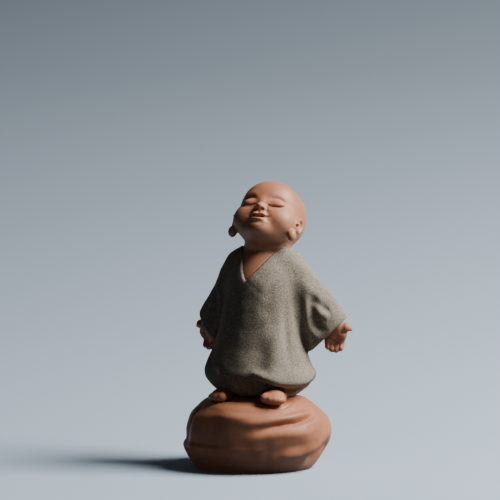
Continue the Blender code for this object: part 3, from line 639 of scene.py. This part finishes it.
# Torso rows: height, half width, half depth, sideways and backward shift
TORSO_ROWS = smooth_rows(
    (
        (-4.5, 15.5, 12.2, -1.0, 0),
        (-1.5, 18.0, 14.8, -1.0, 0),
        (0.5, 21.4, 18.0, -1.2, 0),
        (4, 25.5, 21.4, -1.3, 0),
        (9.5, 28.3, 24.0, -1.3, 0),
        (15, 26.5, 22.8, -1.6, -0.3),
        (24, 23.1, 20.0, -1.0, -1.0),
        (35, 20.2, 17.6, -0.4, -1.6),
        (47, 18.6, 16.2, 0.3, -1.8),
        (57, 17.4, 15.8, 0.8, -0.8),
        (65, 15.2, 14.6, 1.2, 1.9),
        (72, 12.2, 12.4, 1.4, 4.6),
        (78, 8.0, 8.0, 1.2, 6.0),
    )
)
TORSO_TOP = 72.4
SHOULDER_ROUND = 4.0
HEM_LOW = -3.5
HEM_ROUND = 1.5
# The hem lifts over each foot
HEM_ARCHES = (((12.6, -17.5, -1.6), (6.6, 8.0, 5.6)), ((-15.5, -17.0, -1.6), (5.6, 7.0, 4.4)))
ARCH_SOFT = 1.0

# Sleeve rows run down the arm from the shoulder: place, half drape, half thickness, two shifts
SLEEVE_START = np.array((10.5, 2.0, 63.0))
CUFF_CENTRE = np.array((32.2, 9.5, 32.0))
SLEEVE_LENGTH = float(np.linalg.norm(CUFF_CENTRE - SLEEVE_START))
SLEEVE_ROWS = smooth_rows(
    (
        (-8, 6.0, 6.0, 0, 0),
        (0, 9.2, 8.6, 0.1, 0),
        (10, 11.2, 8.8, 1.7, 0),
        (20, 13.0, 8.4, 3.4, 0),
        (30, 14.1, 8.0, 4.0, 0),
        (40, 13.0, 7.2, 3.0, 0),
        (48, 12.0, 6.4, 2.0, 0),
    )
)
# How much wider the right sleeve is than the left one at the same places
RIGHT_SLEEVE_WIDER = ((-8, 0.3), (0, 1.2), (10, 1.1), (20, 0.0), (30, -0.1), (48, 0.2))
# Both sleeves lean a little to the left
SLEEVES_ASIDE = 1.2
# The cuff is cut on a slant, longer at the drape
CUFF_SLANT = 0.12
CUFF_SHORT_SIDE = -11.0
CUFF_WALL = 3.0
CUFF_HOLLOW = 2.4
CUFF_HOLLOW_SOFT = 2.0
CUFF_ROUND = 1.6
CUFF_LIP = 0.8
ARMPIT_SOFT = 2.4
SIDES_MEET = 8.0
DRAPE_LOW = 7.0

# Collar: what lies above two slopes that meet along a line from the point of the V to the nape
COLLAR_TIP = np.array((-2.0, -15.6, 56.4))
COLLAR_NAPE = np.array((1.0, 15.5, 71.0))
COLLAR_SIDES = (np.array((9.5, -6.6, 69.9)), np.array((-9.2, -6.8, 70.2)))
COLLAR_EDGE = 0.7
COLLAR_POINT = 0.8
NECK_FOOT = (0.6, 4.0, 70.5)
NECK_TOP = (1.0, 6.5, 77.0)
NECK_RADIUS = 10.5
NECK_ROOM = 1.2
NECK_SOFT = 2.5


def sleeve_axes():
    """Columns: towards the drape below the arm, through the cloth, and down the arm."""
    down = (CUFF_CENTRE - SLEEVE_START) / SLEEVE_LENGTH
    through = np.cross(down, (0, 0, 1.0))
    through /= np.linalg.norm(through)
    return np.stack([np.cross(down, through), through, down], axis=1)


SLEEVE_AXES = sleeve_axes()


def sleeve_form(points):
    """Both sleeves, by folding the points across the middle, and the hollow in their cuffs."""
    folded = np.column_stack([np.abs(points[:, 0] - SLEEVES_ASIDE), points[:, 1], points[:, 2]])
    local = (folded - SLEEVE_START) @ SLEEVE_AXES
    past_cuff = local[:, 2] - SLEEVE_LENGTH - CUFF_SLANT * (local[:, 0] - CUFF_SHORT_SIDE)
    places, wider = np.array(RIGHT_SLEEVE_WIDER).T
    share = np.clip(0.5 - (points[:, 0] - SLEEVES_ASIDE) / SIDES_MEET, 0, 1)
    body = tapered_body(local, SLEEVE_ROWS) - share * np.interp(local[:, 2], places, wider)
    hollow = keep_inside(body + CUFF_WALL, -past_cuff - CUFF_HOLLOW, CUFF_HOLLOW_SOFT)
    return keep_inside(body, past_cuff, CUFF_ROUND), hollow


def carve(body, cutter, soft):
    """The body without the cutter."""
    return keep_inside(body, -cutter, soft)


def cloth_form(points):
    """The robe before its collar is opened."""
    torso = tapered_body(points, TORSO_ROWS)
    torso = keep_inside(torso, points[:, 2] - TORSO_TOP, SHOULDER_ROUND)
    torso = keep_inside(torso, HEM_LOW - points[:, 2], HEM_ROUND)
    for centre, radii in HEM_ARCHES:
        torso = carve(torso, ellipsoid(points, centre, radii), ARCH_SOFT)
    sleeves, hollow = sleeve_form(points)
    return blend(torso, carve(sleeves, hollow, CUFF_LIP), ARMPIT_SOFT)


def slope_above(points, a, b, c):
    """Everything above the slope through three places."""
    normal = np.cross(b - a, c - a)
    normal /= np.linalg.norm(normal) * np.sign(normal[2])
    return (a - points) @ normal


def collar_form(points):
    """The opening of the collar, with a seat for the neck."""
    sides = (slope_above(points, COLLAR_TIP, COLLAR_NAPE, side) for side in COLLAR_SIDES)
    neck = limb(points, NECK_FOOT, NECK_TOP, NECK_RADIUS, NECK_RADIUS) - NECK_ROOM
    return blend(keep_inside(*sides, COLLAR_POINT), neck, NECK_SOFT)


def robe_form(points):
    return carve(cloth_form(points), collar_form(points), COLLAR_EDGE)


ROBE_FOLDS = (
    # The valley down the front, which opens out above the hem, and its right bank
    (
        ((6, -18.5, 32), (7, -20, 22), (7, -21.8, 13), (4.6, -22.4, 6), (0, -19.5, -1)),
        4.2,
        0.9,
    ),
    (((15.5, -14.5, 36), (15.5, -16.8, 26), (15, -19.4, 16), (13, -21.4, 8)), 3.8, -1.2),
    # The roll of cloth above the near foot, and the tuck below it
    (
        (
            (2, -24, 14), (7, -23.5, 11.0), (12, -22, 9.0), (17, -18.5, 7.4),
            (22, -11.5, 7), (26, -2, 8.5), (27, 7, 11),
        ),
        2.4,
        -2.2,
    ),
    (
        (
            (3, -23.4, 10), (8, -22.4, 7), (12, -20, 4.6), (16, -15.5, 2.6),
            (20, -8.5, 1.2), (23.5, -2, 1.8), (25, 5, 4),
        ),
        1.5,
        2.1,
    ),
    # The crease at the far foot, and the bulge beside it
    (((-13.5, -21.5, 16), (-12, -22.3, 11), (-10, -21.9, 7), (-8, -20.5, 3.6), (-6, -18, -1)), 1.5, 1.3),
    (((-26, -9, 9), (-21, -17, 9), (-16, -21, 9.4), (-12, -22, 6)), 3.2, -0.9),
    (((-22, -12, 30), (-21.5, -15, 18), (-19, -17, 9)), 3.5, 0.7),
    # The lapel's edge, which runs on faintly from the point of the V
    (((-3, -15.6, 58), (0.5, -16.5, 55), (5, -16.8, 51.4), (9, -16, 48)), 1.2, 0.1),
    # Drag of the cloth from the shoulders and under the arms
    (((13, -11, 64), (10.5, -15, 51), (10, -17, 38)), 3.2, 0.4),
    (((-12, -11, 64), (-11, -15, 51), (-11.5, -17, 36)), 3.4, 0.25),
    (((17, -8, 50), (18.5, -11, 38), (19.5, -12, 26), (20, -13, 14)), 2.4, 0.9),
    # Round the back: two valleys from the shoulder blades, and rolls above the hem
    (((-6, 15, 60), (-9, 18, 32), (-8, 24, 2)), 4.2, 1.7),
    (((8, 15, 56), (10, 19, 28), (9, 24, 2)), 4.2, 1.7),
    (((0, 16, 50), (1, 21, 24), (0, 24, 3)), 3.8, -1.2),
    (((-26, 6, 10), (-17, 18, 5.5), (-8, 22, 5), (0, 23.5, 7)), 2.8, -1.6),
    (((0, 23.5, 5.5), (10, 21.5, 5), (18, 16, 6), (27, 4, 10)), 2.8, -1.6),
    (((-24, 8, 3), (-10, 19, 0.5), (0, 20, 1), (10, 18.5, 0.5), (24, 8, 3)), 1.6, 1.2),
    (((-16, 10, 68), (-4, 16.5, 62), (7, 16.5, 61), (17, 9, 67)), 2.6, 0.8),
)
# Folds of the left sleeve, which the right one mirrors
SLEEVE_FOLDS = (
    # Front: the long drape fold that turns up towards the cuff, and its inner bank
    (
        (
            (27, 0, 55), (27.4, -1.5, 47), (27.2, -1.5, 40), (27.6, -0.7, 36),
            (29.4, 0.3, 33), (32, 1.2, 32.6), (34.5, 2, 34),
        ),
        2.6,
        1.2,
    ),
    (
        (
            (24.6, -2, 56), (24.6, -2.6, 47), (24.8, -1.8, 39),
            (25.6, -0.5, 33.5), (28, 1, 30), (31, 1.6, 29),
        ),
        2.2,
        -0.7,
    ),
    (((21.5, -3, 52), (22.6, -2.4, 42), (23.0, -1, 34), (24.2, 1, 27), (26, 3, 22)), 1.9, 0.9),
    # The pouch between the folds, and the crease above it
    (((28, -0.9, 47), (30.6, 0.2, 42), (33, 1.3, 39.2), (36, 2.6, 38.4)), 2.3, -1.0),
    (((27.4, -1.4, 53), (29.4, -0.5, 46.5), (32, 0.8, 43), (34.4, 2, 41.8), (36.4, 3.2, 42.2)), 2.0, 0.9),
    (((23, -4, 59), (29, -2, 50), (34, 1, 45)), 2.4, -0.7),
    # Back
    (((14, 8, 58), (20, 13.5, 46), (26, 16, 37), (34, 17.5, 33)), 2.0, 1.8),
    (((17, 9, 60), (24, 13.5, 50), (30, 16, 43), (37, 16.5, 39)), 2.2, 1.4),
    (((16, 10, 55), (23, 14.5, 44), (30, 17, 36)), 2.0, -1.0),
    # Where the drape leaves the body
    (((13, 10, 56), (18, 13, 41), (22, 13, 24)), 2.2, 1.0),
)
ROBE_LUMPS = [((0, 0, 12), (27, 23, 14)), ((0, -1, 38), (19, 17, 34))]
for step in (0.1, 0.4, 0.7, 0.9):
    x, y, z = SLEEVE_START + step * (CUFF_CENTRE - SLEEVE_START)
    ROBE_LUMPS += [((x, y, z), (9, 8, 10)), ((-x, y, z), (9, 8, 10))]
# The drape below each arm hangs lower than those
for step in (0.45, 0.65, 0.85):
    x, y, z = SLEEVE_START + step * (CUFF_CENTRE - SLEEVE_START) + DRAPE_LOW * SLEEVE_AXES[:, 0]
    ROBE_LUMPS += [((x, y, z), (8, 6, 8)), ((-x, y, z), (8, 6, 8))]

robe_strokes = list(ROBE_FOLDS)
for path, width, depth in SLEEVE_FOLDS:
    for side in (1, -1):
        beside = np.array(path) * (side, 1, 1)
        robe_strokes.append((beside + ((1 - side) * SLEEVES_ASIDE, 0, 0), width, depth))
robe = skin("carved_robe", ROBE_LUMPS, robe_form, ROBE_SKIN, robe_strokes, (6.0, 0.28))
place_figure(robe)

GREY_PALE = (0.335, 0.30, 0.25, 1)
GREY_DEEP = (0.245, 0.215, 0.17, 1)
robe.data.materials.append(
    clay_material(
        "sandy_robe_clay",
        {
            "Pale": GREY_PALE,
            "Deep": GREY_DEEP,
            "Cloud Spacing": 0.012,
            "Mottle Spacing": 0.0008,
            "Mottle Share": 0.6,
        },
        {
            "Pale Grain": (0.50, 0.455, 0.39, 1),
            "Dark Grain": (0.085, 0.07, 0.055, 1),
            "Grain Size": 0.0005,
            "Pale Share": 0.3,
            "Dark Share": 0.3,
            "Strength": 0.9,
        },
        {
            "Ridge": (0.44, 0.40, 0.345, 1),
            # Painted shade for the robe's hollows
            "Painted Hollow Shade": (0.10, 0.085, 0.066, 1),
            "Share": 0.35,
            "Smooth": 0.82,
            "Rough": 0.95,
        },
        (0.00013, 0.00012, 0.8),
        0.25,
    )
)
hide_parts("robe")
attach(robe, "root")


# Hands: small plump hands of red clay, palms forward, fingers curled in and thumbs out.
# Each is modelled on its own and pushed into the hollow of the cuff while both clays are damp.

HAND_SKIN = 0.2
HAND_PLACES = {"left_hand": (35.4, 11.0, 32.3), "right_hand": (-34.3, 11.0, 30.7)}
HAND_TURNS = {"left_hand": turned(x=8, y=6, z=22), "right_hand": turned(x=8, y=-6, z=-22)}
PALM = (
    ((0, 0, -4.6), (4.9, 2.8, 5.6), 0),
    ((3.0, -1.2, -3.0), (2.6, 2.2, 3.6), 1.2),
    ((-3.0, -0.8, -5.2), (2.3, 2.2, 4.2), 1.2),
)
# Each finger: place across the palm, height of its knuckle, height of its tip, radius
FINGERS = (
    (-3.5, -7.4, -9.7, 1.5),
    (-1.25, -8.0, -10.7, 1.65),
    (1.15, -8.0, -10.8, 1.65),
    (3.4, -7.4, -9.8, 1.55),
)
FINGER_SOFT = 1.0
FINGER_CURL = -1.7
FINGERS_TOGETHER = 0.9
THUMB = ((1.8, -0.8, -0.2), (4.4, -1.3, 0.9), (7.2, -1.2, 0.1))
THUMB_RADII = (3.0, 2.3, 0.8)
THUMB_JOINT_SOFT = 0.5
THUMB_SOFT = 1.0
WRIST = ((-1.5, -0.4, 6.0), (0, 0, -3.0), 3.9, 3.6)
WRIST_SOFT = 1.5
HAND_LUMPS = (
    ((0, 0, -5.5), (5.0, 3.0, 5.6)),
    ((0, -0.8, -9), (5.0, 2.6, 2.4)),
    ((4.4, -1.2, 0.9), (3.6, 2.0, 2.0)),
    ((-0.8, -0.5, 2.6), (3.8, 3.8, 6.5)),
)
HAND_STROKES = (
    # The hollow of the palm and its lines
    (((0.4, -3, -2), (0.4, -3, -4.6), (0.2, -3, -8.4)), 1.7, 0.7),
    (((4.0, -3.4, -4.6), (2.0, -3.4, -6.0), (0.4, -3.0, -8.6)), 0.5, 0.4),
    (((-4.4, -3.0, -4.0), (-1.8, -3.2, -5.6), (1.0, -3.0, -7.4)), 0.45, 0.35),
    # The shallow gaps between the fingers
    (((-2.4, -3.2, -6.2), (-2.4, -3.6, -9.4), (-2.4, -1.0, -12.4)), 0.4, 0.28),
    (((0.0, -3.4, -6.6), (0.0, -3.8, -9.8), (0.0, -1.0, -13.0)), 0.4, 0.28),
    (((2.3, -3.2, -6.2), (2.3, -3.6, -9.4), (2.3, -1.0, -12.4)), 0.4, 0.28),
    # The web of the thumb
    (((1.6, -3.2, -1.8), (3.8, -3.0, -1.4), (6.4, -2.2, -0.8)), 0.7, 0.5),
)


def hand_form(points):
    palm = pressed_together(points, PALM)
    for x, knuckle, drop, radius in FINGERS:
        finger = limb(points, (x, 0, knuckle), (FINGERS_TOGETHER * x, FINGER_CURL, drop), radius, radius)
        palm = blend(palm, finger, FINGER_SOFT)
    root, joint, tip = THUMB
    near_thumb = limb(points, root, joint, *THUMB_RADII[:2])
    thumb = blend(near_thumb, limb(points, joint, tip, *THUMB_RADII[1:]), THUMB_JOINT_SOFT)
    return blend(blend(palm, thumb, THUMB_SOFT), limb(points, *WRIST), WRIST_SOFT)


hand_clay = red_clay("rubbed_hand_clay", 0.46, 0.6)
for node, side in (("left_hand", 1), ("right_hand", -1)):
    hand = skin(f"open_{node}", HAND_LUMPS, hand_form, HAND_SKIN, HAND_STROKES)
    place_figure(hand, HAND_PLACES[node], HAND_TURNS[node], side)
    hand.data.materials.append(hand_clay)
    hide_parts(node)
    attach(hand, "root")


# Head: a bald round baby's head thrown back, eyes closed and smiling, with the neck and a wedge of chest.
# It is one piece of red clay, modelled and burnished, and set in the open collar.

HEAD_SKIN = 0.26
HEAD_CENTRE = np.array((1.6, 7.1, 85.3))
HEAD_TURN = turned(z=6) @ turned(x=-42) @ turned(y=3)
# How far the chest lies below the cloth's surface, and how soft its joints are
SKIN_INSET = 1.0
THROAT_SOFT = 3.0
WEDGE_EDGE = 0.6
WEDGE_ROUND = 0.5


def pair(centre, *rest):
    """A mass or a path's point on both sides of the middle."""
    return [((side * centre[0], *centre[1:]), *rest) for side in (1, -1)]


# Masses of the head on axes of its own, with the face towards -Y
HEAD_MASSES = [
    ((0, 1.5, 2.5), (16.8, 17.4, 16.4), 0),
    ((0, -4, -5), (13.9, 12.6, 12.0), 5),
    # Cheeks, forehead and chin
    *pair((8.0, -7.6, -7.4), (7.6, 7.6, 7.6), 3),
    ((0, -7.0, 6), (11.8, 9.6, 9.2), 5),
    ((0, -11.6, -14.6), (4.6, 4.0, 3.4), 3),
    ((0, -6, -14.2), (9, 8, 5), 4),
    ((0, -13.6, -10.4), (5.0, 3.6, 4.0), 2.5),
    # Closed lids, nose and its wings
    *pair((6.7, -13.3, -1.7), (4.1, 3.1, 2.6), 1.2),
    ((0, -15.2, -2.4), (1.6, 2.2, 3.6), 2.0),
    ((0, -17.2, -5.5), (2.0, 2.2, 1.8), 1.2),
    *pair((1.9, -16.6, -6.1), (1.3, 1.5, 1.2), 0.8),
    # Lips
    *pair((1.5, -16.7, -9.9), (2.1, 1.2, 0.85), 0.6),
    ((0, -16.1, -12.6), (2.7, 1.35, 1.0), 0.7),
    # Ears and their long lobes
    *pair((16.0, -2.8, -6.0), (1.9, 3.2, 4.6), 1.0),
    *pair((15.5, -5.0, -12.6), (2.2, 2.6, 3.1), 1.0),
]
BOTH_SIDES = (
    # Line of the closed lids, the fold above them and the fold of the cheek below
    (
        (
            (2.3, -16.2, -3.2), (4.4, -16.4, -3.8), (6.9, -15.9, -3.8),
            (9.4, -14.6, -3.0), (12.2, -12.4, -1.0),
        ),
        0.42,
        1.2,
    ),
    (
        (
            (2.4, -16.2, -1.6), (4.4, -16.0, 0.4), (7.0, -15.5, 1.1),
            (9.4, -14.2, 0.6), (11.8, -12.4, -0.8),
        ),
        1.0,
        0.42,
    ),
    (((3.4, -16.2, -5.0), (6.4, -15.6, -5.3), (9.4, -14.6, -4.6), (12.4, -12.3, -2.6)), 0.7, 0.22),
    # Brow
    (((2.0, -16.5, 1.8), (5.4, -16.2, 3.4), (9.0, -14.8, 3.2), (12.6, -12.0, 1.2)), 1.6, -0.25),
    # Nostrils, folds from the nose round the cheeks, and the dimples of the smile
    (((0.6, -17.8, -7.2), (1.5, -17.7, -7.4), (2.4, -17.2, -7.1)), 0.5, 0.85),
    (((2.8, -16.6, -4.6), (3.5, -16.0, -6.5), (3.3, -15.9, -8.4)), 0.6, 0.35),
    (((2.8, -16.0, -6.6), (4.5, -15.9, -8.9), (5.4, -15.2, -11.8)), 1.2, 0.5),
    (((3.2, -15.8, -10.2), (4.3, -15.3, -11.2), (4.9, -14.6, -13.0)), 1.2, 0.4),
    # The ear's rim, its hollow, the hole of the ear and the notch above the lobe
    (
        (
            (16.2, -6.4, -5.6), (17, -5.2, -3.2), (18, -3.4, -2.4),
            (18.6, -1.4, -4), (18.4, -0.8, -7), (17.6, -2, -10.4),
        ),
        0.8,
        -1.2,
    ),
    (((17.2, -4.6, -3.8), (17.8, -3.0, -4.2), (17.9, -2.4, -6.4), (17.4, -3.2, -8.4)), 0.8, 1.0),
    (((16.8, -5.4, -5.8), (17.0, -5.2, -6.8), (16.8, -5.4, -7.8)), 0.8, 2.6),
    (((17.6, -1.4, -10.2), (17.6, -4.6, -10.4), (16.2, -7.6, -10.4)), 0.8, 0.5),
)
MIDDLE = (
    # The open smile, the groove above it and the hollow below the lip
    (
        (
            (-5.4, -14.6, -9.6), (-2.4, -17, -11.0), (0, -17.4, -11.2),
            (2.4, -17, -11.0), (5.4, -14.6, -9.7),
        ),
        0.6,
        2.1,
    ),
    (((0, -17.2, -7.4), (0, -17.4, -8.7), (0, -17.6, -10.2)), 0.5, 0.5),
    (((-3.6, -15.0, -13.4), (0, -16, -14.2), (3.6, -15.0, -13.4)), 1.0, 0.35),
)


def head_local(points):
    return (points - HEAD_CENTRE) @ HEAD_TURN


def head_placed(points):
    return np.array(points, float) @ HEAD_TURN.T + HEAD_CENTRE


def bust_form(points):
    """Head, neck and the wedge of chest that shows in the collar."""
    head = pressed_together(head_local(points), HEAD_MASSES)
    cloth = cloth_form(points)
    neck = limb(points, NECK_FOOT, NECK_TOP, NECK_RADIUS, NECK_RADIUS)
    bust = blend(head, blend(cloth + SKIN_INSET, neck, NECK_SOFT), THROAT_SOFT)
    return keep_inside(bust, blend(collar_form(points), -cloth, WEDGE_EDGE), WEDGE_ROUND)


head_strokes = [(head_placed(path), width, depth) for path, width, depth in MIDDLE]
for path, width, depth in BOTH_SIDES:
    for side in (1, -1):
        head_strokes.append((head_placed(np.array(path) * (side, 1, 1)), width, depth))
CHEST_LUMPS = (
    ((1, 6, 72), 9),
    ((0.6, 1, 67), 8.5),
    ((0, -6, 64), 6.5),
    ((-0.4, -10.5, 61.8), 4),
    ((-1.2, -13.2, 59), 2.4),
)
bust_lumps = [(head_placed(centre), radii) for centre, radii, _ in HEAD_MASSES]
bust_lumps += [(centre, (radius, radius, radius)) for centre, radius in CHEST_LUMPS]
head = skin("burnished_head", bust_lumps, bust_form, HEAD_SKIN, head_strokes)
place_figure(head)
# The head is burnished paler than the boulder
HEAD_TONES = ((0.555, 0.247, 0.145, 1), (0.435, 0.17, 0.09, 1))
head.data.materials.append(red_clay("burnished_head_clay", 0.46, 0.6, 0.6, HEAD_TONES))
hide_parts("head")
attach(head, "root")


# Studio: a plain pale sweep of paper under and behind the ornament, one large soft light from the right,
# a faint light from all round, and a long lens a little above the ground.

CAMERA_TURN = math.radians(24.0)
CAMERA_RISE = math.radians(4.0)
CAMERA_FAR = 1.2
PHOTO_PIXELS = 500
METRES_PER_PIXEL = 0.0005
GROUND_PIXEL = (257.0, 466.6)
SENSOR = 36.0

across = Vector((math.cos(CAMERA_TURN), math.sin(CAMERA_TURN), 0))
back_to_camera = Vector(
    (
        math.sin(CAMERA_TURN) * math.cos(CAMERA_RISE),
        -math.cos(CAMERA_TURN) * math.cos(CAMERA_RISE),
        math.sin(CAMERA_RISE),
    )
)
upright = back_to_camera.cross(across)
centre_pixel = PHOTO_PIXELS / 2
aim = METRES_PER_PIXEL * (
    across * (centre_pixel - GROUND_PIXEL[0]) + upright * (GROUND_PIXEL[1] - centre_pixel)
)
camera_data = bpy.data.cameras.new("photo_view")
camera_data.sensor_width = SENSOR
camera_data.lens = SENSOR * CAMERA_FAR / (PHOTO_PIXELS * METRES_PER_PIXEL)
camera = bpy.data.objects.new("photo_view", camera_data)
camera.location = aim + back_to_camera * CAMERA_FAR
camera.rotation_euler = (math.pi / 2 - CAMERA_RISE, 0, CAMERA_TURN)
studio.collection.objects.link(camera)
studio.camera = camera

# The sweep starts in front of the camera, lies flat to its bend and curves up in one wide arc
SWEEP_FRONT = -1.6
SWEEP_BEND = 0.12
SWEEP_RADIUS = 1.1
SWEEP_HALF = 2.2
SWEEP_STEPS = 96
PAPER_ROUGHNESS = 0.9
PAPER_TINT = (0.72, 0.93, 1.2)
# The paper is painted darker with height, a painted falloff of the light: height and shade, from the floor
# up
PAPER_PAINTED_FALLOFF = ((0.0, 0.62), (0.03, 0.54), (0.1, 0.42), (0.2, 0.27), (0.34, 0.15))


def make_sweep():
    away = Vector((-math.sin(CAMERA_TURN), math.cos(CAMERA_TURN), 0))
    profile = [(SWEEP_FRONT, 0)]
    for step in range(SWEEP_STEPS + 1):
        bend = math.pi / 2 * step / SWEEP_STEPS
        profile.append((SWEEP_BEND + SWEEP_RADIUS * math.sin(bend), SWEEP_RADIUS * (1 - math.cos(bend))))
    bm = bmesh.new()
    rows = []
    for far, high in profile:
        place = away * far + Vector((0, 0, high))
        rows.append([bm.verts.new(place + across * side * SWEEP_HALF) for side in (-1, 1)])
    for near, far in zip(rows[:-1], rows[1:]):
        bm.faces.new((near[0], near[1], far[1], far[0])).smooth = True
    mesh = bpy.data.meshes.new("paper_sweep")
    bm.to_mesh(mesh)
    bm.free()
    sweep = bpy.data.objects.new("paper_sweep", mesh)
    studio.collection.objects.link(sweep)
    paper = bpy.data.materials.new("pale_paper")
    paper.use_nodes = True
    tree = paper.node_tree
    shader = tree.nodes["Principled BSDF"]
    height = put(tree, "SeparateXYZ", {"Vector": put(tree, "TexCoord").outputs["Object"]}).outputs["Z"]
    top = PAPER_PAINTED_FALLOFF[-1][0]
    # Painted shade: the paper darkens with height in place of the light falling off
    painted_falloff_ramp = put(tree, "ValToRGB", {"Fac": sum_of(tree, "DIVIDE", height, top)})
    for place, (level, shade) in enumerate(PAPER_PAINTED_FALLOFF):
        stops = painted_falloff_ramp.color_ramp.elements
        stop = stops[place] if place < 2 else stops.new(level / top)
        stop.position = level / top
        stop.color = (*(shade * part for part in PAPER_TINT), 1)
    tree.links.new(painted_falloff_ramp.outputs["Color"], shader.inputs["Base Color"])
    shader.inputs["Roughness"].default_value = PAPER_ROUGHNESS
    mesh.materials.append(paper)
    # The paper throws no light back onto the ornament: diffuse rays don't see it
    sweep.visible_diffuse = False


make_sweep()

# The key light: across, up and towards the camera from the ornament's middle
KEY_PLACE = (0.82, 0.8, 0.22)
KEY_SIZE = 0.6
KEY_WATTS = 36.0
KEY_TINT = (1.0, 0.94, 0.87)
key_data = bpy.data.lights.new("key", "AREA")
key_data.size = KEY_SIZE
key_data.energy = KEY_WATTS
key_data.color = KEY_TINT
key = bpy.data.objects.new("key", key_data)
key.location = aim + across * KEY_PLACE[0] + upright * KEY_PLACE[1] + back_to_camera * KEY_PLACE[2]
key.rotation_euler = (key.location - aim).to_track_quat("Z", "Y").to_euler()
studio.collection.objects.link(key)

# The faint light from all round
DAYLIGHT_TINT = (0.62, 0.62, 0.62, 1)
DAYLIGHT_STRENGTH = 0.055
daylight = bpy.data.worlds.new("daylight")
daylight.use_nodes = True
sky = daylight.node_tree.nodes["Background"]
sky.inputs["Color"].default_value = DAYLIGHT_TINT
sky.inputs["Strength"].default_value = DAYLIGHT_STRENGTH
studio.world = daylight
